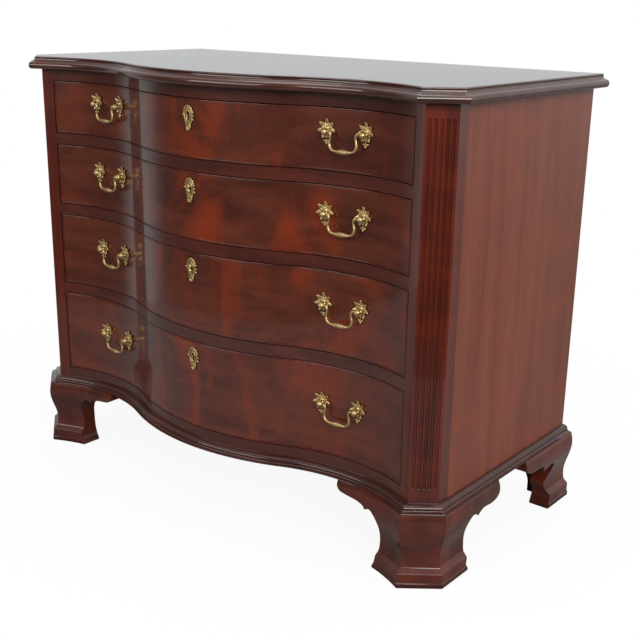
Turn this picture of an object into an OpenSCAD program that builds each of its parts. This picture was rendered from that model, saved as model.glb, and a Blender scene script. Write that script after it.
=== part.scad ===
// Serpentine chest of drawers: a mahogany case with a shaped front, canted
// fluted corners, four graduated drawers with bail pulls, and ogee bracket feet.
// All lengths are millimetres. Z = 0 is the floor, +X is the right-hand side seen
// from the front, and the front faces -Y. The origin is under the middle.

/* [Case] */
// Width of the case across its sides
case_w = 1016; // [900:1:1150]
// Depth of each side, from the back to the canted corner
side_d = 455; // [420:1:500]
// Width of each canted corner, seen from the front
cant_run = 41; // [36:1:46]
// Depth of each canted corner, seen from the side
cant_rise = 33; // [28:1:38]
// How far the middle of the front stands out beyond the corners
bulge_out = 39; // [25:1:50]
// How far each hollow of the front lies behind the corners
hollow_in = 32; // [26:1:38]
// Distance of each hollow from its corner
hollow_inset = 142; // [125:1:155]
// Thickness of the side panels
panel_t = 19; // [16:1:22]
// Thickness of the back boards
back_t = 12; // [8:1:14]
// Number of back boards
back_count = 4; // [3:1:6]
// Width of each corner post, seen from the front
post_w = 63; // [58:1:72]
// Width of each corner post, seen from the side
post_return = 26; // [20:1:34]
// Number of flutes on each canted corner
flute_count = 5; // [3:1:6]
// Radius of the flutes
flute_r = 3; // [2:0.1:3.6]
// Depth of the flutes
flute_depth = 2.4; // [1:0.1:2.8]
// Plain length of the corner above and below the flutes
flute_margin = 23; // [14:1:40]

/* [Drawer frame] */
// Height of the rail above the top drawer
top_rail_h = 23; // [18:1:30]
// Thickness of the rails between the drawers
rail_t = 22; // [18:1:26]
// Height of the bottom rail that shows above the base moulding
bottom_rail_h = 20; // [12:1:30]
// Depth of the rails behind the hollows of the front
rail_depth = 80; // [60:1:100]
// Length of the rail tenons in the corner posts
tenon_l = 12; // [8:1:18]
// Thickness of the rail tenons
tenon_t = 10; // [6:1:12]
// Width of the drawer runners inside the side panels
runner_w = 88; // [70:1:110]
// Height of the guides on the runners
guide_h = 26; // [16:1:34]
// Thickness of the bottom boards
floor_t = 10; // [7:1:10]

/* [Top board] */
// Thickness of the top
top_t = 24; // [20:1:30]
// Overhang of the upper edge of the top
top_arris = 11; // [8:1:14]
// Overhang of the nose of the top
top_lip = 25; // [22:1:32]
// Overhang of the top at the back
top_rear = 9; // [0:1:14]
// Height of the nose of the top
nose_h = 13; // [10:1:14]

/* [Base] */
// Height of the feet
foot_h = 137; // [115:1:160]
// Height of the base moulding
mould_h = 13; // [10:1:18]
// Projection of the lower edge of the base moulding
mould_out = 19; // [16:1:21]
// Projection of the feet under the base moulding
brow_out = 20.5; // [18:0.5:23]
// Projection of the swelling of the feet
swell_out = 24.5; // [20:0.5:26]
// Projection of the neck of the feet
neck_out = 11; // [6:0.5:14]
// Projection of the pads under the feet
pad_out = 22; // [18:0.5:24]
// Height of the pads with their slope
pad_h = 33; // [24:1:38]
// How far the feet reach in behind the face of the case
foot_in = 18; // [14:1:22]
// Width of the legs under the front, from their corners
leg_w = 61; // [54:1:70]
// Width of the front legs under the sides
side_leg_w = 67; // [56:1:76]
// Width of the rear legs under the sides
rear_leg_w = 72; // [60:1:84]
// Extra width of the pads
pad_extra = 8; // [4:1:12]
// Depth of the scrolled wings under the front
wing_t = 22; // [18:1:30]
// Depth of the scrolled wings under the sides
side_wing_t = 30; // [22:1:34]
// Length of the front and front side wings from their corners
wing_l = 158; // [150:1:190]
// Length of the rear wings from the back
rear_wing_l = 188; // [165:1:205]
// Radius of the scroll beside each leg
scroll_r = 20; // [16:1:22]
// Radius of the cusped hollow beside that scroll
cusp_r = 15; // [12:1:17]
// Side of the square glue blocks inside the feet
block_w = 26; // [24:1:50]

/* [Drawers] */
// Height of the first opening from the top
drawer_h1 = 106; // [96:1:120]
// Height of the second opening
drawer_h2 = 125; // [110:1:140]
// Height of the third opening
drawer_h3 = 150; // [130:1:165]
// Height of the fourth opening
drawer_h4 = 172; // [150:1:190]
// Gap beside each drawer
gap_side = 1.5; // [0.8:0.1:2.5]
// Gap above each drawer front
gap_top = 1.5; // [1:0.1:2.5]
// Gap below each drawer front
gap_low = 1.2; // [0.8:0.1:2]
// Gap between the drawer sides and their runners
gap_run = 0.3; // [0.2:0.1:0.6]
// Thickness of the drawer fronts
front_t = 22; // [20:1:26]
// Thickness of the drawer sides
side_t = 12; // [9:1:14]
// Thickness of the drawer backs
rear_t = 10; // [8:1:14]
// Thickness of the drawer bottoms
bottom_t = 7; // [5:1:9]
// How far the drawer sides stop below the top of the front
side_drop = 5; // [3:1:9]
// Depth of the grooves that hold the drawer bottoms
groove_d = 5; // [3:1:6]
// Height of the drawer bottoms above the lower edge of the sides
groove_z = 9; // [7:1:14]
// Length of the stop space behind the closed drawers
stop_space = 18; // [12:1:30]
// Wood left in front of the dovetails
lap_t = 6; // [4:1:8]
// Narrow width of the dovetails
tail_w = 15; // [10:1:20]
// Extra width of the dovetails at their tips
tail_flare = 5; // [2:1:8]

/* [Pulls] */
// Distance of each pull from the centre line, in a case plan_w wide
pull_x = 297; // [260:1:320]
// Distance between the two posts of a pull on the drawer face
pull_span = 76; // [70:1:90]
// Height of the pull posts above the middle of their drawer
pull_raise = 13; // [5:1:18]
// Distance of the bail axis from the drawer face
head_out = 11; // [10.5:0.5:14]
// Radius of the post heads
head_r = 6; // [5:0.25:6.5]
// Radius of the post stems
stem_r = 3; // [2:0.25:3.5]
// Radius of the bail pins
pin_r = 1.6; // [1.2:0.1:2]
// Running clearance of the bail pins in the post heads
pin_gap = 0.05; // [0.02:0.01:0.1]
// Radius of the bail legs
bail_r = 2; // [1.7:0.1:2.4]
// Distance from the bail axis down to its grip
bail_drop = 30; // [27:1:34]
// Outward slant of the bail legs in degrees
bail_splay = 10; // [0:1:16]
// Radius of the grip at its thickest
grip_r = 4.5; // [3.5:0.25:5]
// Radius of the points of the rosettes
rosette_r = 15.5; // [13:0.5:18]
// Number of points of the rosettes
rosette_points = 7; // [5:1:9]
// Thickness of the rosettes
rosette_t = 2.4; // [1.6:0.1:3.5]
// Height of the rosette centre above its post
rosette_up = 4; // [2:0.5:5]
// Distance from the centre of a rosette down to the tip of its pendant
pendant_drop = 30; // [26:1:32]

/* [Locks] */
// Distance of the keyholes below the tops of the openings
key_drop = 31; // [26:1:36]
// Radius of the rim of the key plates
plate_r = 15; // [12:0.5:17]
// Thickness of the key plates
plate_t = 1.8; // [1:0.1:3]
// Width of the lock cases
lock_w = 60; // [46:1:80]
// Height of the lock cases
lock_h = 44; // [38:1:50]
// Depth of the lock cases
lock_d = 12; // [10:1:16]
// Depth to which the lock cases are let into the drawer fronts
lock_in = 5; // [3:1:7]
// Thickness of the walls of the lock cases
lock_wall = 1.5; // [1:0.1:2.5]
// Width of the lock bolts
bolt_w = 22; // [14:1:30]
// Thickness of the lock bolts
bolt_t = 4; // [3:0.5:6]
// Height of the lock bolts
bolt_h = 24; // [20:1:28]
// Travel of the lock bolts
bolt_throw = 8; // [5:1:9]

/* [Hidden] */
$fn = 96;

// Colours as they show: the fronts, the corners, the sides, the inside and the metal
mahogany = [0.36, 0.17, 0.12];
deep_red = [0.42, 0.13, 0.09];
side_wood = [0.50, 0.29, 0.23];
inner_wood = [0.70, 0.55, 0.38];
brass = [0.66, 0.58, 0.36];
steel = [0.50, 0.49, 0.46];

// Plan of the case, measured from its back: the corner where the front meets
// the cant, the two turns of the serpentine and the radii of its arcs
half_w = case_w / 2;
corner = [half_w - cant_run, -(side_d + cant_rise)];
hollow_x = corner.x - hollow_inset;
wave_h = bulge_out + hollow_in;
hollow_r = (hollow_inset * hollow_inset + hollow_in * hollow_in) / (2 * hollow_in);
radius_sum = (hollow_x * hollow_x + wave_h * wave_h) / (2 * wave_h);
bulge_r = radius_sum - hollow_r;
front_y = corner.y - bulge_out;
bulge_c = [0, front_y + bulge_r];
hollow_c = [hollow_x, corner.y + hollow_in - hollow_r];
turn_a = asin(hollow_x / radius_sum);
turn_x = bulge_r * sin(turn_a);
cant_l = norm([cant_run, cant_rise]);
cant_n = [cant_rise, -cant_run] / cant_l;
// Outward directions of the mitres at the two ends of the cant
front_mitre = (hollow_c - corner) / hollow_r + cant_n;
side_mitre = cant_n + [1, 0];
// The hollow arcs run on past the corners, where the cants cut them
arc_over = 25;
arc_end = atan2(corner.y - hollow_c.y, corner.x - hollow_c.x) - arc_over;
// Distance that passes any side of the case
far = 2 * case_w;
// Depth of the swept edges inside the hollows, and where the plain body takes over
sweep_in = 40;
core_in = 30;
// Overlap of cutting shapes past the faces that they cut
cut = 1;

// Levels of the case
moulding_top = foot_h + mould_h;
drawer_h = [drawer_h1, drawer_h2, drawer_h3, drawer_h4];
base_z = moulding_top + bottom_rail_h;
function opening_z(i) = i == 4 ? base_z : opening_z(i + 1) + drawer_h[i] + rail_t;
function opening_top(i) = opening_z(i) + drawer_h[i - 1];
case_top = opening_top(1) + top_rail_h;
total_h = case_top + top_t;
// The origin lies on the floor under the middle of the overall depth
rear_y = (-front_y + top_lip - top_rear) / 2;

// Joinery of the case
open_half = half_w - post_w;
inner_half = half_w - panel_t;
post_back = -(side_d - post_return);
rail_back = corner.y + hollow_in + rail_depth;
rebate_d = panel_t / 2;
tongue_t = panel_t / 3;
tongue_l = 8;
joint_gap = 0.1;
board_gap = 0.6;
floor_count = 3;
tenon_inset = 12;
flute_pitch = cant_l / (flute_count + 0.65);
stop_x = [130, 170];
stop_l = 24;
stop_h = 7;

// Height of the front plan at a distance x from the centre line
function face_y(x) =
    x < turn_x ? bulge_c.y - sqrt(bulge_r * bulge_r - x * x)
    : hollow_c.y + sqrt(hollow_r * hollow_r - (x - hollow_c.x) * (x - hollow_c.x));

// Drawer boxes behind the fronts
box_half = open_half - gap_side;
box_inner = box_half - side_t;
box_rear = -(back_t + stop_space);
back_face = box_rear - rear_t;
tail_tip = face_y(box_inner) + lap_t;
tail_over = 8;
tail_root = face_y(box_inner) + front_t + tail_over;
tail_pitch = 33;
panel_gap = 0.3;
function side_z(i) = opening_z(i) + gap_run;
function front_z(i) = opening_z(i) + gap_low;
function front_top(i) = opening_top(i) - gap_top;
function side_top(i) = front_top(i) - side_drop;
function panel_z(i) = side_z(i) + groove_z;
function back_z(i) = panel_z(i) + bottom_t + joint_gap;

// Pulls: the seats of the two posts, their normals, their heads and the bail axis
// They keep their place in the hollows, which move apart as the case widens
plan_w = 1016;
pull_at = pull_x + (case_w - plan_w) / 2;
function hollow_point(x) = [x, face_y(x)];
function hollow_n(x) = (hollow_c - hollow_point(x)) / hollow_r;
seat_a = hollow_point(pull_at - pull_span / 2);
seat_b = hollow_point(pull_at + pull_span / 2);
head_a = seat_a + head_out * hollow_n(seat_a.x);
head_b = seat_b + head_out * hollow_n(seat_b.x);
axis_mid = (head_a + head_b) / 2;
axis_a = atan2(head_b.y - head_a.y, head_b.x - head_a.x);
axis_half = norm(head_b - head_a) / 2;
function pull_z(i) = opening_z(i) + drawer_h[i - 1] / 2 + pull_raise;
plate_gap = 0.1;
nut_h = 4;
nut_r = 6;
nut_gap = 0.05;
stem_gap = 0.2;
boss_r = 4.5;
boss_h = 5;
pin_in = 5;
pin_end_gap = 0.4;
neck_gap = 0.5;
pin_start = axis_half - head_r - neck_gap;
neck_bend = 4;
grip_bend = 8;
neck_end = [pin_start - neck_bend * cos(bail_splay), -neck_bend - neck_bend * sin(bail_splay)];
leg_end_z = grip_bend + grip_bend * sin(bail_splay) - bail_drop;
leg_l = (neck_end.y - leg_end_z) / cos(bail_splay);
leg_end = [neck_end.x + leg_l * sin(bail_splay), leg_end_z];
grip_half = leg_end.x - grip_bend * cos(bail_splay);
collar_l = 1.2;
bead = 0.1;
swell_half = 14;

// Locks: the case is let into the back of the front, its top plate into the edge
lock_front = front_y + front_t - lock_in;
lock_back = lock_front + lock_d;
bolt_y = lock_front + lock_d / 2;
bolt_gap = 0.15;
bolt_rest = 0.3;
bolt_room = 1;
lip_t = 2;
lip_d = 4;
key_eye = 3;
key_toe = 2;
key_slot = 3;
key_l = 14;
key_pin = 1;
function key_z(i) = opening_top(i) - key_drop;

// Feet and mouldings
pad_bead = 2;
bead_h = 8;
pad_slope = 7;
slope_out = 3;
neck_h = 17;
brow_h = 21;
wing_round = 12;
scroll_drop = 25;
cusp_shift = 30;
rear_bracket_l = 100;
rear_bracket_r = 62;
block_foot = 4;

// Profile of the top's edge, from its underside up: a nose and a cove with a fillet
nose_r = nose_h / 2;
cove_p = top_lip - nose_r;
fillet_h = 2;
fillet_w = 1.5;
edge_in = 6;
top_face = concat(
    [for (a = [-90 : 22.5 : 90])
        [top_lip - nose_r + nose_r * cos(a), case_top + nose_r + nose_r * sin(a)]],
    [for (a = [22.5 : 22.5 : 90])
        [cove_p - (cove_p - top_arris - fillet_w) * sin(a),
         total_h - fillet_h - (top_t - fillet_h - nose_h) * cos(a)]],
    [[top_arris + fillet_w, total_h - fillet_h / 2], [top_arris, total_h]]
);

// Profile of the base moulding, from its lower edge up: a cove under a roll
roll_out = 11;
roll_flat = 0.8;
mould_fillet = 1;
roll_z = foot_h + mould_h * 0.4;
mould_face = concat(
    [[mould_out, foot_h]],
    [for (a = [0 : 22.5 : 90])
        [mould_out - (mould_out - roll_out) * sin(a),
         roll_z - (roll_z - foot_h - mould_fillet) * cos(a)]],
    [for (a = [18 : 18 : 90])
        [roll_flat + (roll_out - roll_flat) * cos(a), roll_z + (moulding_top - roll_z) * sin(a)]]
);

// Profile of the feet, from the floor up: a bead, a pad, a neck, a swelling and a brow
neck_z = pad_h + neck_h;
brow_z = foot_h - brow_h;
foot_face = concat(
    [[pad_out + pad_bead - 1, 0], [pad_out + pad_bead, 1], [pad_out + pad_bead, bead_h],
     [pad_out, bead_h + pad_bead], [pad_out, pad_h - pad_slope],
     [neck_out + slope_out, pad_h]],
    [for (k = [0 : 2]) [neck_out + 2 * (1 - k / 3) ^ 2, pad_h + k * neck_h / 3]],
    [for (k = [0 : 8])
        [(neck_out + swell_out) / 2 - (swell_out - neck_out) / 2 * cos(180 * k / 8),
         neck_z + k * (brow_z - neck_z) / 8]],
    [for (k = [1 : 3]) [swell_out - (swell_out - brow_out) * (k / 3) ^ 2, brow_z + k * brow_h / 3]]
);

// Straight profile from one level to another, moved out by a distance
function plumb(out, z0, z1) = [[out, z0], [out, z1]];
// Outline of a profile, closed at a depth behind the face
function closed(face, depth) =
    concat([[-depth, face[0].y]], face, [[-depth, face[len(face) - 1].y]]);

// A profile with plumb ends that pass its body above and below
function taller(face) = concat(
    [[face[0].x, face[0].y - cut]], face,
    [[face[len(face) - 1].x, face[len(face) - 1].y + cut]]
);

// The case in its place over the origin
module placed() {
    translate([0, rear_y, 0])
        children();
}

// The shape and its mirror image on the left
module both_sides() {
    children();
    mirror([1, 0, 0])
        children();
}

// Box between two corners
module box(p, q) {
    translate(p)
        cube(q - p);
}

// Everything behind the serpentine front, moved out by the profile. A plumb front
// runs its middle arc on by one degree behind the hollows, where it can't be seen
module behind_front(face, rear) {
    z0 = face[0].y;
    z1 = face[len(face) - 1].y;
    lap = len(face) == 2 ? 1 : 0;
    translate([bulge_c.x, bulge_c.y, 0])
        rotate_extrude(angle = 2 * (turn_a + lap), start = 270 - turn_a - lap)
            polygon([for (q = closed(face, wave_h + sweep_in)) [bulge_r + q.x, q.y]]);
    both_sides()
        translate([hollow_c.x, hollow_c.y, 0])
            rotate_extrude(angle = 90 + turn_a - arc_end, start = arc_end)
                polygon([for (q = closed(face, wave_h + sweep_in)) [hollow_r - q.x, q.y]]);
    box([-far / 2, corner.y + hollow_in + core_in, z0], [far / 2, rear, z1]);
}

// What lies outside the right-hand cant, up to the square corner
module cant_waste(face) {
    waste = -4 * (cant_run + cant_rise);
    translate([half_w - cant_run / 2, -side_d - cant_rise / 2, 0])
        rotate([90, 0, atan2(cant_n.y, cant_n.x)])
            linear_extrude(height = 4 * cant_l, center = true)
                polygon(closed(taller(face), waste));
}

// Everything between the two sides, moved out by the profile
module between_sides(face) {
    tall = taller(face);
    right = [for (q = tall) [half_w + q.x, q.y]];
    left = [for (k = [len(tall) - 1 : -1 : 0]) [-half_w - tall[k].x, tall[k].y]];
    rotate([90, 0, 0])
        linear_extrude(height = 2 * far, center = true)
            polygon(concat(right, left));
}

// Body with the whole plan of the case, moved out by the profile
module moulded(face, rear) {
    difference() {
        intersection() {
            behind_front(face, rear);
            between_sides(face);
        }
        both_sides()
            cant_waste(face);
    }
}

// Half of space beyond the mitre at a corner: turn 1 is the side nearer the back
module past_mitre(at, out, turn, z0, z1) {
    translate([at.x, at.y, z0])
        rotate([0, 0, atan2(out.y, out.x)])
            translate([-far, turn > 0 ? joint_gap / 2 : -far - joint_gap / 2, 0])
                cube([2 * far, far, z1 - z0]);
}

// Edge along the bulge, which ends a hairline before each hollow
module bulge_edge(face, depth) {
    reach = turn_a - asin(joint_gap / bulge_r);
    translate([bulge_c.x, bulge_c.y, 0])
        rotate_extrude(angle = 2 * reach, start = 270 - reach)
            polygon([for (q = closed(face, depth)) [bulge_r + q.x, q.y]]);
}

// Edge along the right-hand hollow, mitred at its corner
module hollow_edge(face, depth) {
    intersection() {
        translate([hollow_c.x, hollow_c.y, 0])
            rotate_extrude(angle = 90 + turn_a - arc_end, start = arc_end)
                polygon([for (q = closed(face, depth)) [hollow_r - q.x, q.y]]);
        past_mitre(corner, front_mitre, -1, face[0].y - cut, face[len(face) - 1].y + cut);
    }
}

// Straight edge along the right-hand cant, mitred at both of its ends
module cant_edge(face, depth) {
    z0 = face[0].y;
    z1 = face[len(face) - 1].y;
    intersection() {
        translate([half_w - cant_run / 2, -side_d - cant_rise / 2, 0])
            rotate([90, 0, atan2(cant_n.y, cant_n.x)])
                linear_extrude(height = 2 * cant_l, center = true)
                    polygon(closed(face, depth));
        past_mitre(corner, front_mitre, 1, z0 - cut, z1 + cut);
        past_mitre([half_w, -side_d], side_mitre, -1, z0 - cut, z1 + cut);
    }
}

// Straight edge along the right-hand side, mitred at its front end
module side_edge(face, depth, length) {
    z0 = face[0].y;
    z1 = face[len(face) - 1].y;
    intersection() {
        translate([0, length - side_d, 0])
            rotate([90, 0, 0])
                linear_extrude(height = length + cant_l)
                    polygon([for (q = closed(face, depth)) [half_w + q.x, q.y]]);
        past_mitre([half_w, -side_d], side_mitre, 1, z0 - cut, z1 + cut);
    }
}

// Top: a plain body with a moulded edge along its front, cants and sides, which has
// hairline joints where its straight and curved lengths meet
module top_board() {
    color(mahogany)
        placed() {
            moulded(plumb(top_arris - 1, case_top, total_h), top_rear);
            bulge_edge(top_face, edge_in);
            both_sides() {
                hollow_edge(top_face, edge_in);
                intersection() {
                    cant_edge(taller(top_face), edge_in);
                    box([0, -far, case_top], [far, 0, total_h]);
                }
                side_edge(top_face, edge_in, side_d + top_rear);
            }
        }
}

// One side with a tongue for the corner post and a rebate for the back boards
module side_panel() {
    tongue_x = half_w - panel_t / 2;
    difference() {
        union() {
            box([inner_half, post_back, foot_h], [half_w, 0, case_top]);
            box([tongue_x - tongue_t / 2, post_back - tongue_l, foot_h],
                [tongue_x + tongue_t / 2, post_back + cut, case_top]);
        }
        box([inner_half - cut, -back_t - joint_gap, foot_h - cut],
            [inner_half + rebate_d, cut, case_top + cut]);
    }
}

module side_panel_right() {
    color(side_wood)
        placed()
            side_panel();
}

module side_panel_left() {
    color(side_wood)
        placed()
            mirror([1, 0, 0])
                side_panel();
}

module back_boards() {
    pitch = (case_top - foot_h + board_gap) / back_count;
    reach = inner_half + rebate_d - joint_gap;
    color(inner_wood)
        placed()
            for (k = [0 : back_count - 1])
                box([-reach, -back_t, foot_h + k * pitch],
                    [reach, 0, foot_h + (k + 1) * pitch - board_gap]);
}

// One corner post: canted, fluted, mortised for the rails and grooved for the side
module corner_post() {
    tongue_x = half_w - panel_t / 2;
    difference() {
        intersection() {
            behind_front(plumb(0, foot_h, case_top), 0);
            box([open_half, -far, foot_h], [half_w, post_back, case_top]);
        }
        cant_waste(plumb(0, foot_h, case_top));
        flutes();
        box([tongue_x - tongue_t / 2 - joint_gap, post_back - tongue_l - joint_gap, foot_h - cut],
            [tongue_x + tongue_t / 2 + joint_gap, post_back + cut, case_top + cut]);
        for (z = rail_levels)
            rail_tenon(z, joint_gap);
    }
}

// Round-ended flutes spread over the right-hand cant
module flutes() {
    low = moulding_top + flute_margin + flute_r;
    high = case_top - flute_margin - flute_r;
    translate([half_w - cant_run / 2, -side_d - cant_rise / 2, 0])
        rotate([0, 0, atan2(cant_n.y, cant_n.x)])
            for (k = [0 : flute_count - 1])
                translate([flute_r - flute_depth, (k - (flute_count - 1) / 2) * flute_pitch, low]) {
                    cylinder(r = flute_r, h = high - low);
                    sphere(r = flute_r);
                    translate([0, 0, high - low])
                        sphere(r = flute_r);
                }
}

module corner_post_right() {
    color(deep_red)
        placed()
            corner_post();
}

module corner_post_left() {
    color(deep_red)
        placed()
            mirror([1, 0, 0])
                corner_post();
}

// Middle height of each rail, where its tenons lie
rail_levels = [
    (opening_top(1) + case_top) / 2,
    opening_z(1) - rail_t / 2,
    opening_z(2) - rail_t / 2,
    opening_z(3) - rail_t / 2,
    (foot_h + base_z) / 2,
];

// Right-hand tenon of a rail, or its mortise when grown by a gap
module rail_tenon(z, grow) {
    box([open_half - cut, face_y(open_half) + tenon_inset - grow, z - tenon_t / 2 - grow],
        [open_half + tenon_l + grow, post_back - tenon_inset + grow, z + tenon_t / 2 + grow]);
}

// One rail with a serpentine front edge between the posts and tenons into them
module rail(z0, z1) {
    intersection() {
        behind_front(plumb(0, z0, z1), rail_back);
        box([-open_half, -far, z0], [open_half, rail_back, z1]);
    }
    box([-inner_half, post_back, z0], [inner_half, rail_back, z1]);
    both_sides()
        rail_tenon((z0 + z1) / 2, 0);
}

// One rail with a mortise for the lock bolt of the drawer below
module locking_rail(z0, z1) {
    difference() {
        rail(z0, z1);
        box([-bolt_w / 2 - bolt_room, bolt_y - bolt_t / 2 - bolt_room, z0 - cut],
            [bolt_w / 2 + bolt_room, bolt_y + bolt_t / 2 + bolt_room,
             z0 - gap_top + bolt_throw + bolt_room]);
    }
}

module top_rail() {
    color(mahogany)
        placed()
            locking_rail(opening_top(1), case_top);
}

module drawer_rail_1() {
    color(mahogany)
        placed()
            locking_rail(opening_top(2), opening_z(1));
}

module drawer_rail_2() {
    color(mahogany)
        placed()
            locking_rail(opening_top(3), opening_z(2));
}

module drawer_rail_3() {
    color(mahogany)
        placed()
            locking_rail(opening_top(4), opening_z(3));
}

module bottom_rail() {
    color(mahogany)
        placed()
            rail(foot_h, base_z);
}

// Boards that close the case below, behind the bottom rail
module bottom_boards() {
    pitch = (-back_t - rail_back + board_gap) / floor_count;
    color(inner_wood)
        placed()
            for (k = [0 : floor_count - 1])
                box([-inner_half, rail_back + k * pitch, foot_h],
                    [inner_half, rail_back + (k + 1) * pitch - board_gap, foot_h + floor_t]);
}

// Runners that carry the drawers, and kickers that hold the top drawer level
module drawer_runners() {
    spans = [
        [opening_top(1), case_top],
        [opening_top(2), opening_z(1)],
        [opening_top(3), opening_z(2)],
        [opening_top(4), opening_z(3)],
        [foot_h + floor_t, base_z],
    ];
    color(inner_wood)
        placed()
            both_sides()
                for (s = spans)
                    box([inner_half - runner_w, rail_back, s[0]], [inner_half, -back_t, s[1]]);
}

// Guides beside the drawers and stops behind the drawer fronts
module drawer_guides() {
    color(inner_wood)
        placed()
            both_sides()
                for (i = [1 : 4]) {
                    z = opening_z(i);
                    box([open_half, post_back, z], [inner_half, -back_t, z + guide_h]);
                    intersection() {
                        behind_front(plumb(-front_t - panel_gap, z, z + stop_h), 0);
                        box([stop_x[0], -far, z],
                            [stop_x[1], face_y(stop_x[1]) + front_t + stop_l, z + stop_h]);
                    }
                }
}

// Moulding around the front, the cants and the sides, mitred at its corners
module base_moulding() {
    low = foot_h - cut;
    high = moulding_top + cut;
    color(mahogany)
        placed() {
            intersection() {
                difference() {
                    behind_front(mould_face, rail_back);
                    behind_front(plumb(0, low, high), rail_back + cut);
                }
                past_mitre(corner, front_mitre, -1, low, high);
                mirror([1, 0, 0])
                    past_mitre(corner, front_mitre, -1, low, high);
            }
            both_sides() {
                cant_edge(mould_face, 0);
                side_edge(mould_face, 0, side_d);
            }
        }
}

// Space beside a leg and under its scrolled wing, from the leg's own corner
module bracket_void(leg, wing, end) {
    wing_z = foot_h - wing;
    scroll = [leg + scroll_r, wing_z - scroll_drop];
    cusp = [leg + scroll_r + cusp_shift, wing_z - cusp_r];
    polygon([
        [leg + pad_extra, -cut], [leg + pad_extra, 0], [leg + pad_extra / 2, pad_h / 2],
        [leg, pad_h], [leg, scroll.y], [cusp.x, scroll.y], [cusp.x, wing_z],
        [end + cut, wing_z], [end + cut, -cut],
    ]);
    translate(scroll)
        circle(r = scroll_r);
    translate(cusp)
        circle(r = cusp_r);
    difference() {
        translate([end - wing_round, wing_z - cut])
            square(wing_round + cut);
        translate([end - wing_round, wing_z + wing_round])
            circle(r = wing_round);
    }
}

// Front foot: two scrolled brackets mitred to a canted corner, open behind
module foot_front() {
    difference() {
        intersection() {
            hollow_edge(foot_face, foot_in);
            box([corner.x - wing_l, -far, -cut], [far, 0, foot_h + cut]);
        }
        translate([corner.x, 0, 0])
            rotate([90, 0, 0])
                linear_extrude(height = 2 * far, center = true)
                    mirror([1, 0])
                        bracket_void(leg_w, wing_t, wing_l);
    }
    cant_edge(foot_face, foot_in);
    difference() {
        side_edge(foot_face, foot_in, wing_l);
        translate([half_w, -side_d, 0])
            rotate([90, 0, 90])
                linear_extrude(height = 3 * foot_in, center = true)
                    bracket_void(side_leg_w, side_wing_t, wing_l);
    }
}

// Rear foot: a scrolled side bracket and a plain bracket across the back
module foot_rear() {
    inner_x = half_w - foot_in;
    difference() {
        intersection() {
            between_sides(foot_face);
            box([inner_x, -rear_wing_l, 0], [far, 0, foot_h]);
        }
        translate([half_w, 0, 0])
            rotate([90, 0, 90])
                linear_extrude(height = 3 * foot_in, center = true)
                    mirror([1, 0])
                        bracket_void(rear_leg_w, side_wing_t, rear_wing_l);
    }
    difference() {
        box([inner_x - joint_gap - rear_bracket_l, -foot_in, 0], [inner_x - joint_gap, 0, foot_h]);
        translate([inner_x - rear_bracket_l, cut, 0])
            rotate([90, 0, 0])
                cylinder(r = rear_bracket_r, h = foot_in + 2 * cut);
    }
}

module foot_front_right() {
    color(deep_red)
        placed()
            foot_front();
}

module foot_front_left() {
    color(deep_red)
        placed()
            mirror([1, 0, 0])
                foot_front();
}

module foot_rear_right() {
    color(mahogany)
        placed()
            foot_rear();
}

module foot_rear_left() {
    color(mahogany)
        placed()
            mirror([1, 0, 0])
                foot_rear();
}

// Upright blocks glued into the corners of the feet
module foot_glue_blocks() {
    inner_x = half_w - foot_in - joint_gap;
    color(inner_wood)
        placed()
            both_sides() {
                intersection() {
                    moulded(plumb(-foot_in - joint_gap, block_foot, foot_h), 0);
                    box([inner_x - block_w, -far, 0], [inner_x, block_w - foot_in - side_d, foot_h]);
                }
                box([inner_x - block_w, -foot_in - joint_gap - block_w, block_foot],
                    [inner_x, -foot_in - joint_gap, foot_h]);
            }
}

// Row of dovetails along the right-hand side of a drawer, seen from that side
module tails(root, tip, z0, z1, grow) {
    count = max(2, round((z1 - z0) / tail_pitch));
    tip_w = tail_w + tail_flare;
    for (k = [0 : count - 1]) {
        z = z0 + (k + 0.5) * (z1 - z0) / count;
        translate([box_inner, 0, z])
            rotate([90, 0, 90])
                linear_extrude(height = side_t)
                    polygon([
                        [root, -tail_w / 2 - grow], [tip, -tip_w / 2 - grow],
                        [tip, tip_w / 2 + grow], [root, tail_w / 2 + grow],
                    ]);
    }
}

// Keyhole: a round eye over a slot with a round toe, cut along Y
module keyhole(i, y0, y1) {
    eye_z = key_l / 2 - key_eye;
    translate([0, y1, key_z(i)])
        rotate([90, 0, 0])
            linear_extrude(height = y1 - y0) {
                translate([0, eye_z])
                    circle(r = key_eye);
                translate([-key_slot / 2, key_toe - key_l / 2])
                    square([key_slot, eye_z + key_l / 2 - key_toe]);
                translate([0, key_toe - key_l / 2])
                    circle(r = key_toe);
            }
}

// Frame of a post: Z points out of the drawer face at its seat
module on_seat(i, seat) {
    n = hollow_n(seat.x);
    translate([seat.x, seat.y, pull_z(i)])
        rotate([0, 0, atan2(n.y, n.x)])
            rotate([0, 90, 0])
                children();
}

// Straight round bar through a post's seat, square to the drawer face
module post_bar(i, seat, r, from, to) {
    on_seat(i, seat)
        translate([0, 0, from])
            cylinder(r = r, h = to - from);
}

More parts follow.
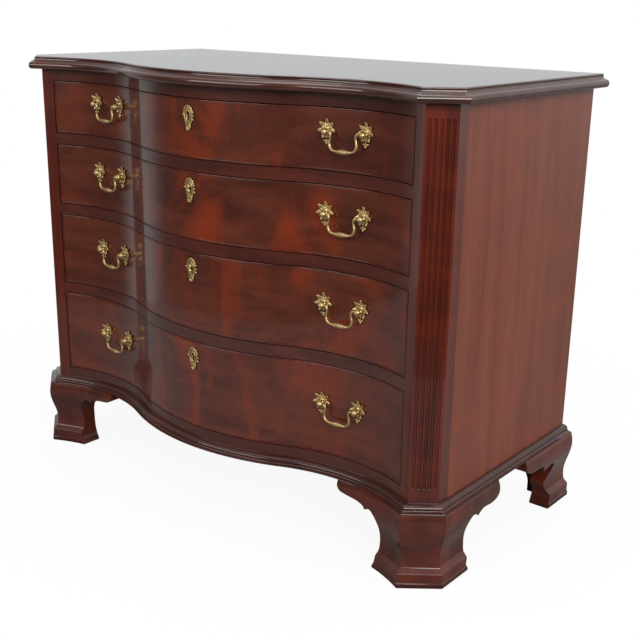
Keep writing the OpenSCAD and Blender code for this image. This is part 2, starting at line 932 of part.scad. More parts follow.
// Serpentine front of a drawer with its groove, dovetail sockets, bores and lock pocket
module drawer_front(i) {
    z0 = front_z(i);
    z1 = front_top(i);
    groove = [panel_z(i) - joint_gap, panel_z(i) + bottom_t + joint_gap];
    difference() {
        intersection() {
            behind_front(plumb(0, z0, z1), 0);
            box([-box_half, -far, z0], [box_half, 0, z1]);
        }
        behind_front(plumb(-front_t, z0 - cut, z1 + cut), cut);
        intersection() {
            behind_front(plumb(groove_d - front_t, groove[0], groove[1]), 0);
            box([-box_inner, -far, groove[0]], [box_inner, 0, groove[1]]);
        }
        both_sides() {
            tails(tail_root, tail_tip - joint_gap, side_z(i), side_top(i), joint_gap);
            for (seat = [seat_a, seat_b])
                post_bar(i, seat, stem_r + stem_gap, -2 * front_t, front_t);
        }
        keyhole(i, front_y - cut, lock_back);
        box([-lock_w / 2 - joint_gap, lock_front, z1 - lock_h - joint_gap],
            [lock_w / 2 + joint_gap, lock_back, z1 + cut]);
        box([-lock_w / 2 - joint_gap, lock_front - lip_d - joint_gap, z1 - lip_t - joint_gap],
            [lock_w / 2 + joint_gap, lock_back, z1 + cut]);
    }
}

// Two sides of a drawer with their tails and the groove for the bottom
module drawer_sides(i) {
    z0 = side_z(i);
    z1 = side_top(i);
    both_sides()
        difference() {
            union() {
                intersection() {
                    behind_front(plumb(-front_t - joint_gap, z0, z1), box_rear);
                    box([box_inner, -far, z0], [box_half, box_rear, z1]);
                }
                tails(tail_root, tail_tip, z0, z1, 0);
            }
            box([box_inner - cut, tail_root - side_t, panel_z(i) - joint_gap],
                [box_inner + groove_d + joint_gap, cut, panel_z(i) + bottom_t + joint_gap]);
            difference() {
                box([box_inner - cut, back_face - joint_gap, back_z(i) - joint_gap],
                    [box_half + cut, cut, z1 + cut]);
                tails(back_face - side_t, box_rear, back_z(i), z1, 0);
            }
        }
}

module drawer_back(i) {
    difference() {
        box([-box_half, back_face, back_z(i)], [box_half, box_rear, side_top(i)]);
        both_sides()
            tails(back_face - side_t, box_rear + cut, back_z(i), side_top(i), joint_gap);
    }
}

// Bottom of a drawer, let into grooves in its front and its sides
module drawer_bottom(i) {
    z0 = panel_z(i);
    z1 = z0 + bottom_t;
    reach = box_inner + groove_d - joint_gap;
    intersection() {
        behind_front(plumb(-front_t - panel_gap, z0, z1), box_rear);
        box([-reach, -far, z0], [reach, box_rear, z1]);
    }
    intersection() {
        behind_front(plumb(groove_d - front_t - panel_gap, z0, z1), box_rear);
        box([panel_gap - box_inner, -far, z0], [box_inner - panel_gap, box_rear, z1]);
    }
}

// Key plate that follows the swelling of the drawer front
module escutcheon(i) {
    difference() {
        intersection() {
            translate([0, front_y + bulge_r / 4, key_z(i)])
                rotate([90, 0, 0])
                    linear_extrude(height = bulge_r)
                        plate_outline();
            translate([bulge_c.x, bulge_c.y, 0])
                cylinder(r = bulge_r + plate_gap + plate_t, h = case_top);
        }
        translate([bulge_c.x, bulge_c.y, -cut])
            cylinder(r = bulge_r + plate_gap, h = case_top + 2 * cut);
        keyhole(i, front_y - 2 * plate_t - cut, front_y);
    }
}

// Outline of a key plate around its keyhole: a rim, a crest, a foot and side scrolls
module plate_outline() {
    crest_r = plate_r / 2;
    foot_r = plate_r * 0.4;
    circle(r = plate_r);
    translate([0, plate_r * 1.2 - crest_r])
        circle(r = crest_r);
    translate([0, foot_r - plate_r * 1.75])
        circle(r = foot_r);
    translate([-foot_r * 0.9, -plate_r * 1.4])
        square([foot_r * 1.8, plate_r]);
    for (side = [-1, 1])
        translate([side * plate_r * 0.6, -plate_r * 0.75])
            circle(r = plate_r * 0.42);
}

// Leafy rosette with a pendant, seen from the front
module rosette_outline() {
    lobe = 3.5;
    polygon([for (k = [0 : 2 * rosette_points - 1])
        (k % 2 == 0 ? rosette_r : 0.75 * rosette_r)
        * [sin(180 * k / rosette_points), cos(180 * k / rosette_points)]]);
    translate([-lobe / 2, 2 * lobe - pendant_drop])
        square([lobe, pendant_drop - 2 * lobe]);
    translate([0, lobe - pendant_drop])
        circle(r = lobe);
    for (side = [-1, 1])
        translate([side * lobe * 0.8, 2.3 * lobe - pendant_drop])
            circle(r = lobe);
}

// Right-hand rosette of one post, shaped to the hollow of the drawer front
module rosette(i, seat) {
    n = hollow_n(seat.x);
    difference() {
        intersection() {
            translate([seat.x, seat.y, pull_z(i) + rosette_up])
                rotate([0, 0, atan2(n.y, n.x)])
                    rotate([90, 0, 90])
                        linear_extrude(height = 2 * front_t, center = true)
                            rosette_outline();
            translate([hollow_c.x, hollow_c.y, 0])
                cylinder(r = hollow_r - plate_gap, h = case_top);
        }
        translate([hollow_c.x, hollow_c.y, -cut])
            cylinder(r = hollow_r - plate_gap - rosette_t, h = case_top + 2 * cut);
        post_bar(i, seat, stem_r + stem_gap, -front_t, front_t);
    }
}

// Turning frame of the right-hand bail: X along its pins, -Y away from the drawer
module on_bail_axis(i) {
    translate([axis_mid.x, axis_mid.y, pull_z(i)])
        rotate([0, 0, axis_a])
            children();
}

// Round bar along the bail's pins, on both of its ends
module pin_bars(i, r, from, to) {
    on_bail_axis(i)
        both_sides()
            translate([from, 0, 0])
                rotate([0, 90, 0])
                    cylinder(r = r, h = to - from);
}

// One post: a bored round head on a boss and a stem through the front, with its nut
module post(i, seat) {
    difference() {
        union() {
            post_bar(i, seat, stem_r, -front_t - nut_gap - nut_h, head_out);
            post_bar(i, seat, boss_r, plate_gap + rosette_t + nut_gap, boss_h);
            on_seat(i, seat)
                translate([0, 0, head_out])
                    sphere(r = head_r);
        }
        pin_bars(i, pin_r + pin_gap, pin_start - cut, axis_half - head_r + pin_in + pin_end_gap);
    }
    difference() {
        post_bar(i, seat, nut_r, -front_t - nut_gap - nut_h, -front_t - nut_gap);
        post_bar(i, seat, stem_r + nut_gap, -2 * front_t, 0);
    }
}

module pull_posts(i) {
    both_sides()
        for (seat = [seat_a, seat_b]) {
            post(i, seat);
            rosette(i, seat);
        }
}

// Right half of a bail in its turning frame: a pin with its collar, a swan neck, a
// leg and a bend, with a slight bead where two of them meet
module bail_half() {
    $fn = 32;
    translate([pin_start - collar_l, 0, 0])
        rotate([0, 90, 0])
            cylinder(r = bail_r + bead, h = collar_l);
    translate([pin_start - collar_l / 2, 0, 0])
        rotate([0, 90, 0])
            cylinder(r = pin_r, h = axis_half - head_r + pin_in - pin_start + collar_l / 2);
    for (q = [neck_end, leg_end])
        translate([q.x, 0, q.y])
            sphere(r = bail_r + bead);
    translate([pin_start, 0, -neck_bend])
        rotate([90, 0, 0])
            rotate_extrude(angle = 90 + bail_splay, start = 90)
                translate([neck_bend, 0])
                    circle(r = bail_r);
    translate([neck_end.x, 0, neck_end.y])
        rotate([0, 180 - bail_splay, 0])
            cylinder(r = bail_r, h = leg_l);
    translate([grip_half, 0, grip_bend - bail_drop])
        rotate([90, 0, 0])
            rotate_extrude(angle = 90 + bail_splay, start = -90)
                translate([grip_bend, 0])
                    circle(r = bail_r);
}

// Right-hand bail: two swan-necked halves joined by a swelling grip
module bail(i) {
    $fn = 32;
    on_bail_axis(i) {
        both_sides() {
            bail_half();
            translate([grip_half - collar_l / 2, 0, -bail_drop])
                rotate([0, 90, 0])
                    cylinder(r = bail_r + bead, h = collar_l);
        }
        translate([0, 0, -bail_drop])
            rotate([0, 90, 0])
                rotate_extrude()
                    polygon(concat(
                        [[0, -grip_half], [bail_r, -grip_half]],
                        [for (k = [-4 : 4])
                            [bail_r + (grip_r - bail_r) * (1 + cos(180 * k / 4)) / 2,
                             k * swell_half / 4]],
                        [[bail_r, grip_half], [0, grip_half]]
                    ));
    }
}

// Lock case with its top plate, a room for the bolt and one for the key
module lock(i) {
    z1 = front_top(i);
    room_z = z1 - bolt_rest - bolt_h - bolt_gap;
    difference() {
        union() {
            box([-lock_w / 2, lock_front + joint_gap, z1 - lock_h], [lock_w / 2, lock_back, z1]);
            box([-lock_w / 2, lock_front - lip_d, z1 - lip_t], [lock_w / 2, lock_back, z1]);
        }
        box([-bolt_w / 2 - bolt_gap, bolt_y - bolt_t / 2 - bolt_gap, room_z],
            [bolt_w / 2 + bolt_gap, bolt_y + bolt_t / 2 + bolt_gap, z1 + cut]);
        box([-bolt_w / 2 - bolt_gap, lock_front + lock_wall, z1 - lock_h + lock_wall],
            [bolt_w / 2 + bolt_gap, lock_back - lock_wall, room_z]);
        keyhole(i, lock_front - lip_d, lock_front + lock_wall + cut);
    }
    translate([0, lock_back - lock_wall / 2, key_z(i) + key_l / 2 - key_eye])
        rotate([90, 0, 0])
            cylinder(r = key_pin, h = lock_d - lock_wall);
}

module lock_bolt(i) {
    z1 = front_top(i) - bolt_rest;
    box([-bolt_w / 2, bolt_y - bolt_t / 2, z1 - bolt_h], [bolt_w / 2, bolt_y + bolt_t / 2, z1]);
}

module drawer_1_front() {
    color(mahogany)
        placed()
            drawer_front(1);
}

module drawer_1_sides() {
    color(inner_wood)
        placed()
            drawer_sides(1);
}

module drawer_1_back() {
    color(inner_wood)
        placed()
            drawer_back(1);
}

module drawer_1_bottom() {
    color(inner_wood)
        placed()
            drawer_bottom(1);
}

module drawer_1_escutcheon() {
    color(brass)
        placed()
            escutcheon(1);
}

module drawer_1_pull_posts() {
    color(brass)
        placed()
            pull_posts(1);
}

module drawer_1_bail_left() {
    color(brass)
        placed()
            mirror([1, 0, 0])
                bail(1);
}

module drawer_1_bail_right() {
    color(brass)
        placed()
            bail(1);
}

module drawer_1_lock() {
    color(brass)
        placed()
            lock(1);
}

module drawer_1_lock_bolt() {
    color(steel)
        placed()
            lock_bolt(1);
}

module drawer_2_front() {
    color(mahogany)
        placed()
            drawer_front(2);
}

module drawer_2_sides() {
    color(inner_wood)
        placed()
            drawer_sides(2);
}

module drawer_2_back() {
    color(inner_wood)
        placed()
            drawer_back(2);
}

module drawer_2_bottom() {
    color(inner_wood)
        placed()
            drawer_bottom(2);
}

module drawer_2_escutcheon() {
    color(brass)
        placed()
            escutcheon(2);
}

module drawer_2_pull_posts() {
    color(brass)
        placed()
            pull_posts(2);
}

module drawer_2_bail_left() {
    color(brass)
        placed()
            mirror([1, 0, 0])
                bail(2);
}

module drawer_2_bail_right() {
    color(brass)
        placed()
            bail(2);
}

module drawer_2_lock() {
    color(brass)
        placed()
            lock(2);
}

module drawer_2_lock_bolt() {
    color(steel)
        placed()
            lock_bolt(2);
}

module drawer_3_front() {
    color(mahogany)
        placed()
            drawer_front(3);
}

module drawer_3_sides() {
    color(inner_wood)
        placed()
            drawer_sides(3);
}

module drawer_3_back() {
    color(inner_wood)
        placed()
            drawer_back(3);
}

module drawer_3_bottom() {
    color(inner_wood)
        placed()
            drawer_bottom(3);
}

module drawer_3_escutcheon() {
    color(brass)
        placed()
            escutcheon(3);
}

module drawer_3_pull_posts() {
    color(brass)
        placed()
            pull_posts(3);
}

module drawer_3_bail_left() {
    color(brass)
        placed()
            mirror([1, 0, 0])
                bail(3);
}

module drawer_3_bail_right() {
    color(brass)
        placed()
            bail(3);
}

module drawer_3_lock() {
    color(brass)
        placed()
            lock(3);
}

module drawer_3_lock_bolt() {
    color(steel)
        placed()
            lock_bolt(3);
}

module drawer_4_front() {
    color(mahogany)
        placed()
            drawer_front(4);
}

module drawer_4_sides() {
    color(inner_wood)
        placed()
            drawer_sides(4);
}

module drawer_4_back() {
    color(inner_wood)
        placed()
            drawer_back(4);
}

module drawer_4_bottom() {
    color(inner_wood)
        placed()
            drawer_bottom(4);
}

module drawer_4_escutcheon() {
    color(brass)
        placed()
            escutcheon(4);
}

module drawer_4_pull_posts() {
    color(brass)
        placed()
            pull_posts(4);
}

module drawer_4_bail_left() {
    color(brass)
        placed()
            mirror([1, 0, 0])
                bail(4);
}

module drawer_4_bail_right() {
    color(brass)
        placed()
            bail(4);
}

module drawer_4_lock() {
    color(brass)
        placed()
            lock(4);
}

module drawer_4_lock_bolt() {
    color(steel)
        placed()
            lock_bolt(4);
}

top_board();
side_panel_left();
side_panel_right();
back_boards();
corner_post_left();
corner_post_right();
top_rail();
drawer_rail_1();
drawer_rail_2();
drawer_rail_3();
bottom_rail();
bottom_boards();
drawer_runners();
drawer_guides();
base_moulding();
foot_front_left();
foot_front_right();
foot_rear_left();
foot_rear_right();
foot_glue_blocks();
drawer_1_front();
drawer_1_sides();
drawer_1_back();
drawer_1_bottom();
drawer_1_escutcheon();
drawer_1_pull_posts();
drawer_1_bail_left();
drawer_1_bail_right();
drawer_1_lock();
drawer_1_lock_bolt();
drawer_2_front();
drawer_2_sides();
drawer_2_back();
drawer_2_bottom();
drawer_2_escutcheon();
drawer_2_pull_posts();
drawer_2_bail_left();
drawer_2_bail_right();
drawer_2_lock();
drawer_2_lock_bolt();
drawer_3_front();
drawer_3_sides();
drawer_3_back();
drawer_3_bottom();
drawer_3_escutcheon();
drawer_3_pull_posts();
drawer_3_bail_left();
drawer_3_bail_right();
drawer_3_lock();
drawer_3_lock_bolt();
drawer_4_front();
drawer_4_sides();
drawer_4_back();
drawer_4_bottom();
drawer_4_escutcheon();
drawer_4_pull_posts();
drawer_4_bail_left();
drawer_4_bail_right();
drawer_4_lock();
drawer_4_lock_bolt();
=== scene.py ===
# %% [markdown]
# # A serpentine chest of drawers
# The CAD model gives every joint, rail and drawer its place. This lesson dresses
# it: finer mouldings and feet, drawer fronts with their beads, cast brass, and
# polished mahogany. Nothing here moves a CAD part. A new piece either stands for
# a CAD node or rides beside it, in the same metres and the same frame.

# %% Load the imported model
import math

import bmesh
import bpy
from mathutils import Matrix, Vector


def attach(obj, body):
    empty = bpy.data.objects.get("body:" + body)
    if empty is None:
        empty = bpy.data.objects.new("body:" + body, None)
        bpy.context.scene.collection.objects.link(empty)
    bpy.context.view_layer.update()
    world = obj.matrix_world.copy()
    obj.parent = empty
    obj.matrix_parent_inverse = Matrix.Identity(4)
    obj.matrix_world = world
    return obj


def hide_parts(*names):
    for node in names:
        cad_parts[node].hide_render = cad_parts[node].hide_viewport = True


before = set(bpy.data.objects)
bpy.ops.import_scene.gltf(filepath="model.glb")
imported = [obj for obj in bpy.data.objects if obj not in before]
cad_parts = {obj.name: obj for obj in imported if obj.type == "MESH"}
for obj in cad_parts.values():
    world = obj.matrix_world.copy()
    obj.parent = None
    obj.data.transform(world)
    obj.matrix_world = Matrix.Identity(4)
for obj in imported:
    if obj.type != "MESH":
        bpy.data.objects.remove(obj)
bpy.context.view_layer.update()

# %% [markdown]
# ## The plan of the case
# The front is one swelling between two hollows, drawn with three arcs that touch
# at two turning points. The corners are cut off by straight cants. The same few
# sizes that draw it in the CAD source draw it here, so that each moulding follows
# the case exactly. Y grows towards the back, and the origin is under the middle.

# %% Sizes of the plan
MM = 0.001
NEAR, WELD = 1e-6, 2e-5     # in metres: as good as in one plane, and merged
half_w = 508 * MM
rear_y = 271.5 * MM
side_y = rear_y - 455 * MM
corner = Vector((467 * MM, rear_y - 488 * MM, 0))
side_corner = Vector((half_w, side_y, 0))
hollow_inset, hollow_in, bulge_out = 142 * MM, 32 * MM, 39 * MM
hollow_x = corner.x - hollow_inset
wave_h = bulge_out + hollow_in
hollow_r = (hollow_inset ** 2 + hollow_in ** 2) / (2 * hollow_in)
bulge_r = (hollow_x ** 2 + wave_h ** 2) / (2 * wave_h) - hollow_r
front_y = corner.y - bulge_out
bulge_c = Vector((0, front_y + bulge_r, 0))
hollow_c = Vector((hollow_x, corner.y + hollow_in - hollow_r, 0))
turn_a = math.asin(hollow_x / (bulge_r + hollow_r))
turn_x = bulge_r * math.sin(turn_a)
corner_a = math.atan2(corner.y - hollow_c.y, corner.x - hollow_c.x)
bulge_steps, hollow_steps = 16, 34
cant_n = Vector((side_corner.y - corner.y, corner.x - side_corner.x, 0)).normalized()
cant_t = (side_corner - corner).normalized()
corner_n = (hollow_c - corner).normalized()
corner_t = Vector((-corner_n.y, corner_n.x, 0))
foot_h = 137 * MM
top_edge_y = rear_y + 9 * MM
openings = {1: (683 * MM, 789 * MM), 2: (536 * MM, 661 * MM), 3: (364 * MM, 514 * MM),
            4: (170 * MM, 342 * MM)}
print("turning points at", round(turn_x / MM, 1), "mm from the middle")


def face_y(x):
    """Plan of the front at a distance x from the centre line"""
    x = abs(x)
    if x < turn_x:
        return bulge_c.y - math.sqrt(bulge_r ** 2 - x ** 2)
    return hollow_c.y + math.sqrt(hollow_r ** 2 - (x - hollow_c.x) ** 2)


# %% [markdown]
# ## Working by hand, in code
# An operator acts on whatever is selected, and the loaded model leaves every CAD
# node selected. So each step starts by selecting one piece alone. A profile is a
# single point that is extruded from place to place, the way one draws a line with
# the E key. Its faces come later, when it is spun or pushed along the case.

# %% Selecting and drawing
def only(piece, *others):
    """Selects these pieces alone; the first is the active one"""
    bpy.ops.object.select_all(action="DESELECT")
    for each in (piece, *others):
        each.select_set(True)
    bpy.context.view_layer.objects.active = piece


def edit(piece):
    """Opens one piece in edit mode with all of it selected"""
    only(piece)
    bpy.ops.object.mode_set(mode="EDIT")
    bpy.ops.mesh.select_mode(type="VERT")
    bpy.ops.mesh.select_all(action="SELECT")


def done():
    bpy.ops.object.mode_set(mode="OBJECT")


def choose(piece, test, kind="VERT"):
    """In edit mode, selects the corners or faces that pass a test of their place"""
    bpy.ops.mesh.select_all(action="DESELECT")
    bpy.ops.mesh.select_mode(type=kind)
    mesh = bmesh.from_edit_mesh(piece.data)
    if kind == "FACE":
        for face in mesh.faces:
            face.select_set(test(face.calc_center_median(), face.normal))
    else:
        for point in mesh.verts:
            point.select_set(test(point.co))
        mesh.select_flush(True)
    bmesh.update_edit_mesh(piece.data)


def started(name, add, **settings):
    """A new primitive, selected alone and named"""
    bpy.ops.object.select_all(action="DESELECT")
    add(**settings)
    piece = bpy.context.object
    piece.name = piece.data.name = name
    return piece


def settled(piece):
    """Applies the place, turn and size of a piece to its mesh"""
    only(piece)
    bpy.ops.object.transform_apply(location=True, rotation=True, scale=True)
    return piece


def push(step):
    """Extrudes what is selected along a step"""
    bpy.ops.mesh.extrude_region_move(TRANSFORM_OT_translate={"value": step})


def draw(name, points, closed=False):
    """A line of edges through points, drawn by extruding one corner"""
    piece = started(name, bpy.ops.mesh.primitive_plane_add, size=MM, location=(0, 0, 0))
    edit(piece)
    bpy.ops.mesh.merge(type="CENTER")
    bpy.ops.transform.translate(value=points[0])
    path = [Vector(point) for point in (points + points[:1] if closed else points)]
    for start, end in zip(path, path[1:]):
        push(end - start)
    bpy.ops.mesh.select_all(action="SELECT")
    bpy.ops.mesh.remove_doubles(threshold=NEAR)
    bpy.ops.mesh.select_all(action="SELECT")
    return piece


def spin(centre, turn, steps):
    """Sweeps what is selected about an upright axis; a positive turn is anticlockwise"""
    bpy.ops.mesh.spin(steps=steps, angle=-turn, center=centre, axis=(0, 0, 1))


def saw(at, towards, fill=False):
    """Cuts the piece with a plane and drops what lies beyond it"""
    bpy.ops.mesh.select_all(action="SELECT")
    bpy.ops.mesh.bisect(plane_co=at, plane_no=towards, clear_outer=True, use_fill=fill)


def cover(piece, test):
    """In edit mode, fills the ring of corners that pass a test of their place"""
    choose(piece, test)
    bpy.ops.mesh.edge_face_add()


def weld(piece, gap=WELD):
    """Merges corners that meet and turns every face outwards"""
    edit(piece)
    bpy.ops.mesh.remove_doubles(threshold=gap)
    bpy.ops.mesh.select_all(action="SELECT")
    bpy.ops.mesh.normals_make_consistent(inside=False)
    done()


# %% Plain solids
def prism(name, ring, step):
    """A ring of points, filled and extruded along a step"""
    piece = draw(name, ring, closed=True)
    bpy.ops.mesh.edge_face_add()
    push(step)
    done()
    weld(piece)
    return piece


def block(name, low, high):
    """Cube stretched between two corners"""
    low, high = Vector(low), Vector(high)
    piece = started(name, bpy.ops.mesh.primitive_cube_add, size=1, location=(low + high) / 2)
    edit(piece)
    bpy.ops.transform.resize(value=high - low)
    done()
    return settled(piece)


def bore(name, matrix, radius, z0, z1, sides=24):
    """Round bar along Z between two heights, put in place by a matrix"""
    piece = settled(started(name, bpy.ops.mesh.primitive_cylinder_add, vertices=sides,
                            radius=radius, depth=z1 - z0, location=(0, 0, (z0 + z1) / 2)))
    piece.data.transform(matrix)
    return piece


# %% Joining, copying and cutting
def join(pieces, name=None):
    only(*pieces)
    if len(pieces) > 1:
        bpy.ops.object.join()
    if name:
        pieces[0].name = pieces[0].data.name = name
    return pieces[0]


def remove(piece):
    bpy.data.objects.remove(piece, do_unlink=True)


def apply(piece, kind, **settings):
    """Adds a modifier, sets it and applies it"""
    only(piece)
    bpy.ops.object.modifier_add(type=kind)
    modifier = piece.modifiers[-1]
    for key, value in settings.items():
        setattr(modifier, key, value)
    bpy.ops.object.modifier_apply(modifier=modifier.name)


def both_halves(piece):
    """Mirrors a right-hand half across the centre line and welds it"""
    apply(piece, "MIRROR", merge_threshold=WELD)
    weld(piece)


def link(thing):
    bpy.context.scene.collection.objects.link(thing)


def placed_copy(piece, matrix, name):
    """A copy with its own mesh, put in place by a matrix"""
    other = piece.copy()
    other.data = piece.data.copy()
    other.name = other.data.name = name
    link(other)
    other.data.transform(matrix)
    return other


def twin(piece, name):
    """The left-hand twin of a right-hand piece"""
    other = placed_copy(piece, Matrix.Scale(-1, 4, (1, 0, 0)), name)
    weld(other)
    return other


def cut_away(piece, tool):
    """Takes the shape of a tool out of a piece, and the tool out of the scene"""
    apply(piece, "BOOLEAN", operation="DIFFERENCE", solver="EXACT", object=tool)
    remove(tool)


def soften(piece, width, degrees):
    """Rounds off the edges that turn by more than an angle"""
    apply(piece, "BEVEL", width=width, segments=2, limit_method="ANGLE",
          angle_limit=math.radians(degrees))


def smooth(piece, degrees=32):
    """Rounds the shading of small angles only and keeps wide faces flat"""
    only(piece)
    bpy.ops.object.shade_smooth_by_angle(angle=math.radians(degrees))
    apply(piece, "WEIGHTED_NORMAL", keep_sharp=True)


def turned(degrees, axis):
    return Matrix.Rotation(math.radians(degrees), 4, axis)


def triangles(piece):
    return sum(len(face.vertices) - 2 for face in piece.data.polygons)


def tell(*pieces):
    for piece in pieces:
        print(f"{piece.name}: {triangles(piece)} triangles")


# %% [markdown]
# ## Mouldings that follow the case
# On the real chest a moulding is worked with planes and scrapers, and mitred at
# the cants. One profile could be swept along a drawn path, but a sweep pinches at
# sharp corners. Here each straight or curved length is spun or extruded a little
# too long and sawn off in the plane of its mitre, so the joints are exact.

# %% One moulding around the right-hand half
def past_corner(normal_a, normal_b):
    """Square to the mitre between two faces that meet at an upright edge"""
    out = (normal_a + normal_b).normalized()
    return Vector((-out.y, out.x, 0))


def follow_front():
    """Sweeps what is selected along the swelling and the hollow, to the corner"""
    spin(bulge_c, turn_a, bulge_steps)
    spin(hollow_c, corner_a - (math.pi / 2 + turn_a), hollow_steps)


def round_the_case(name, profile, back_y, closed=False):
    """Sweeps (p, z) points, p out of the face, from the centre line to the side"""
    over = 60 * MM
    across = past_corner(corner_n, cant_n)
    side_across = past_corner(cant_n, Vector((1, 0, 0)))
    front = draw(name, [(0, front_y - p, z) for p, z in profile], closed)
    follow_front()
    push(corner_t * over)
    saw(corner, across)
    done()
    start = (corner + side_corner) / 2 - cant_t * over
    cant = draw(name + "_cant", [start + cant_n * p + Vector((0, 0, z)) for p, z in profile],
                closed)
    push(cant_t * 2 * over)
    saw(corner, -across)
    saw(side_corner, side_across)
    done()
    side = draw(name + "_side", [(half_w + p, back_y, z) for p, z in profile], closed)
    push((0, side_y - over - back_y, 0))
    saw(side_corner, -side_across)
    done()
    return join([front, cant, side], name)


def arc(centre, radii, start, end, steps):
    """Points (p, z) along part of an ellipse, angles in degrees"""
    angles = [math.radians(start + (end - start) * k / steps) for k in range(steps + 1)]
    return [(centre[0] + radii[0] * math.cos(a), centre[1] + radii[1] * math.sin(a))
            for a in angles]


def in_mm(points):
    return [(p * MM, z * MM) for p, z in points]


# %% [markdown]
# ## The top
# The edge of the top has, from below, a full nose, a small fillet, a cove and a
# fine bead under the arris. The board itself is flat, so after the edge is swept
# only three large faces are missing: the upper one, the lower one and the back.

# %% Model the top board
top_profile = in_mm(
    arc((18.6, 819.0), (6.4, 7.0), -90, 78, 14)
    + [(18.6, 826.2)]
    + arc((18.2, 831.6), (5.4, 5.0), -90, -180, 7)
    + [(12.8, 832.1), (11.7, 832.4)]
    + arc((11.3, 833.9), (1.5, 1.5), -70, 60, 6)
    + [(11.2, 835.5), (10.6, 836.0)]
)
top = round_the_case("top", top_profile, top_edge_y)
both_halves(top)
edit(top)
top_z, low_z = top_profile[-1][1], top_profile[0][1]
for level in (top_z, low_z):
    cover(top, lambda co: abs(co.z - level) < NEAR and co.y > top_edge_y - NEAR)
cover(top, lambda co: co.y > top_edge_y - NEAR)
for level in (top_z, low_z):
    cover(top, lambda co: abs(co.z - level) < NEAR)
done()
weld(top)
smooth(top)
tell(top)

# %% [markdown]
# ## The base moulding
# A roll over a small groove and a cove, planted on the case above the feet. It is
# a closed section, so its two back ends are filled after the sweep.

# %% Model the base moulding
mould_profile = in_mm(
    [(0, 137), (19.2, 137), (19.6, 137.5), (19.2, 138.1)]
    + arc((19.2, 141.3), (7.6, 3.1), -90, -180, 8)
    + [(11.0, 141.5), (10.4, 141.9), (11.2, 142.4)]
    + arc((0.6, 142.6), (11.0, 7.2), 0, 90, 10)
    + [(0, 149.8)]
)
base_mould = round_the_case("base_mould", mould_profile, rear_y, closed=True)
both_halves(base_mould)
edit(base_mould)
for side in (-1, 1):
    cover(base_mould, lambda co: co.y > rear_y - NEAR and co.x * side > 0)
done()
weld(base_mould)
smooth(base_mould)
tell(base_mould)

# %% [markdown]
# ## Ogee bracket feet
# Each foot is a thick moulding too: an ogee that swells above, draws in to a neck
# and stands on a square pad. The brackets beside it are sawn to scrolls. The sweep
# gives the ogee, and a drawn outline, extruded through it, saws the scrolls.

# %% Profile of the feet and the outlines of their brackets
def ogee():
    """Points (p, z) in mm from the floor up: pad, neck, swelling and brow"""
    neck_z, brow_z, steps = 50, 116, 18
    points = [(23.2, 0), (24, 0.8), (24, 7.6), (23.4, 9.0), (22, 9.8), (22, 25.4),
              (21.6, 26.4), (14.6, 32.6), (13.2, 34.2), (12.0, 38), (11.2, 44)]
    for k in range(steps + 1):
        swell = (1 - math.cos(math.pi * k / steps)) / 2
        points.append((11 + 13.5 * swell, neck_z + (brow_z - neck_z) * k / steps))
    points += [(24.5 - 4 * (k / 6) ** 2, brow_z + 21 * k / 6) for k in range(1, 7)]
    return points


def smooth_line(points, steps=5):
    """Curve through points; a point given as (u, z, True) is a sharp corner"""
    def between(t, before, a, b, after):
        return 0.5 * (2 * a + (b - before) * t + (2 * before - 5 * a + 4 * b - after) * t * t
                      + (3 * a - before - 3 * b + after) * t ** 3)

    made = []
    last = len(points) - 1
    for k in range(last):
        a, b = points[k], points[k + 1]
        before = points[k - 1] if k > 0 and len(a) < 3 else a
        after = points[k + 2] if k < last - 1 and len(b) < 3 else b
        for s in range(steps):
            made.append([between(s / steps, *axis) for axis in zip(before[:2], a, b, after)])
    return made + [points[-1][:2]]


front_bracket = smooth_line([
    (70, -1), (69, 4), (65, 15), (61.5, 34), (60.5, 57), (61, 79), (68, 97), (80, 108.5),
    (93, 103, True), (97, 109.5), (109, 113.5), (122, 115), (137, 116.5), (150, 119.5),
    (157, 127), (159, 137.5),
])
side_bracket = smooth_line([
    (71, -1), (70, 4), (67, 15), (70, 34), (71, 51), (67, 78), (69, 92), (79, 103),
    (92, 101), (100, 94.5, True), (106, 101.5), (117, 105.5), (140, 103.5), (158, 107),
    (167, 118), (169, 137.5),
])
rear_bracket = smooth_line([
    (83, -1), (82, 4), (75, 26), (84, 45), (86, 54), (76, 64), (67, 74), (64, 88),
    (78, 96), (96, 91), (106, 88.5, True), (110, 97), (122, 104.5), (142, 106),
    (164, 107), (184, 116), (190, 131), (190.5, 137.5),
])


def bracket_void(name, outline, step, place):
    """Solid under a bracket outline: place(u, z) gives its points, step its depth"""
    end, high = outline[-1][0] + 30, outline[-1][1]
    border = in_mm([*outline, (end, high), (end, -1)])
    return prism(name, [place(u, z) for u, z in border], step)


# %% Model the front feet
foot_profile = in_mm(ogee() + [(-18, 137), (-18, 0)])
front_run, side_run, rear_run = 158 * MM, 168 * MM, 188 * MM
front_void, side_void = (0, 220 * MM, 0), (90 * MM, 0, 0)
front_void_y, side_void_x = -330 * MM, 470 * MM
foot_back = side_y + side_run
front_foot = round_the_case("ogee_foot_front_right", foot_profile, foot_back, closed=True)
weld(front_foot)
wing_x = corner.x - front_run
edit(front_foot)
saw((wing_x, 0, 0), (-1, 0, 0))
cover(front_foot, lambda co: co.x < wing_x + NEAR)
cover(front_foot, lambda co: co.y > foot_back - NEAR)
done()
weld(front_foot)
cut_away(front_foot, bracket_void("front_void", front_bracket, front_void,
                                  lambda u, z: (corner.x - u, front_void_y, z)))
cut_away(front_foot, bracket_void("side_void", side_bracket, side_void,
                                  lambda u, z: (side_void_x, side_y + u, z)))
tell(front_foot)

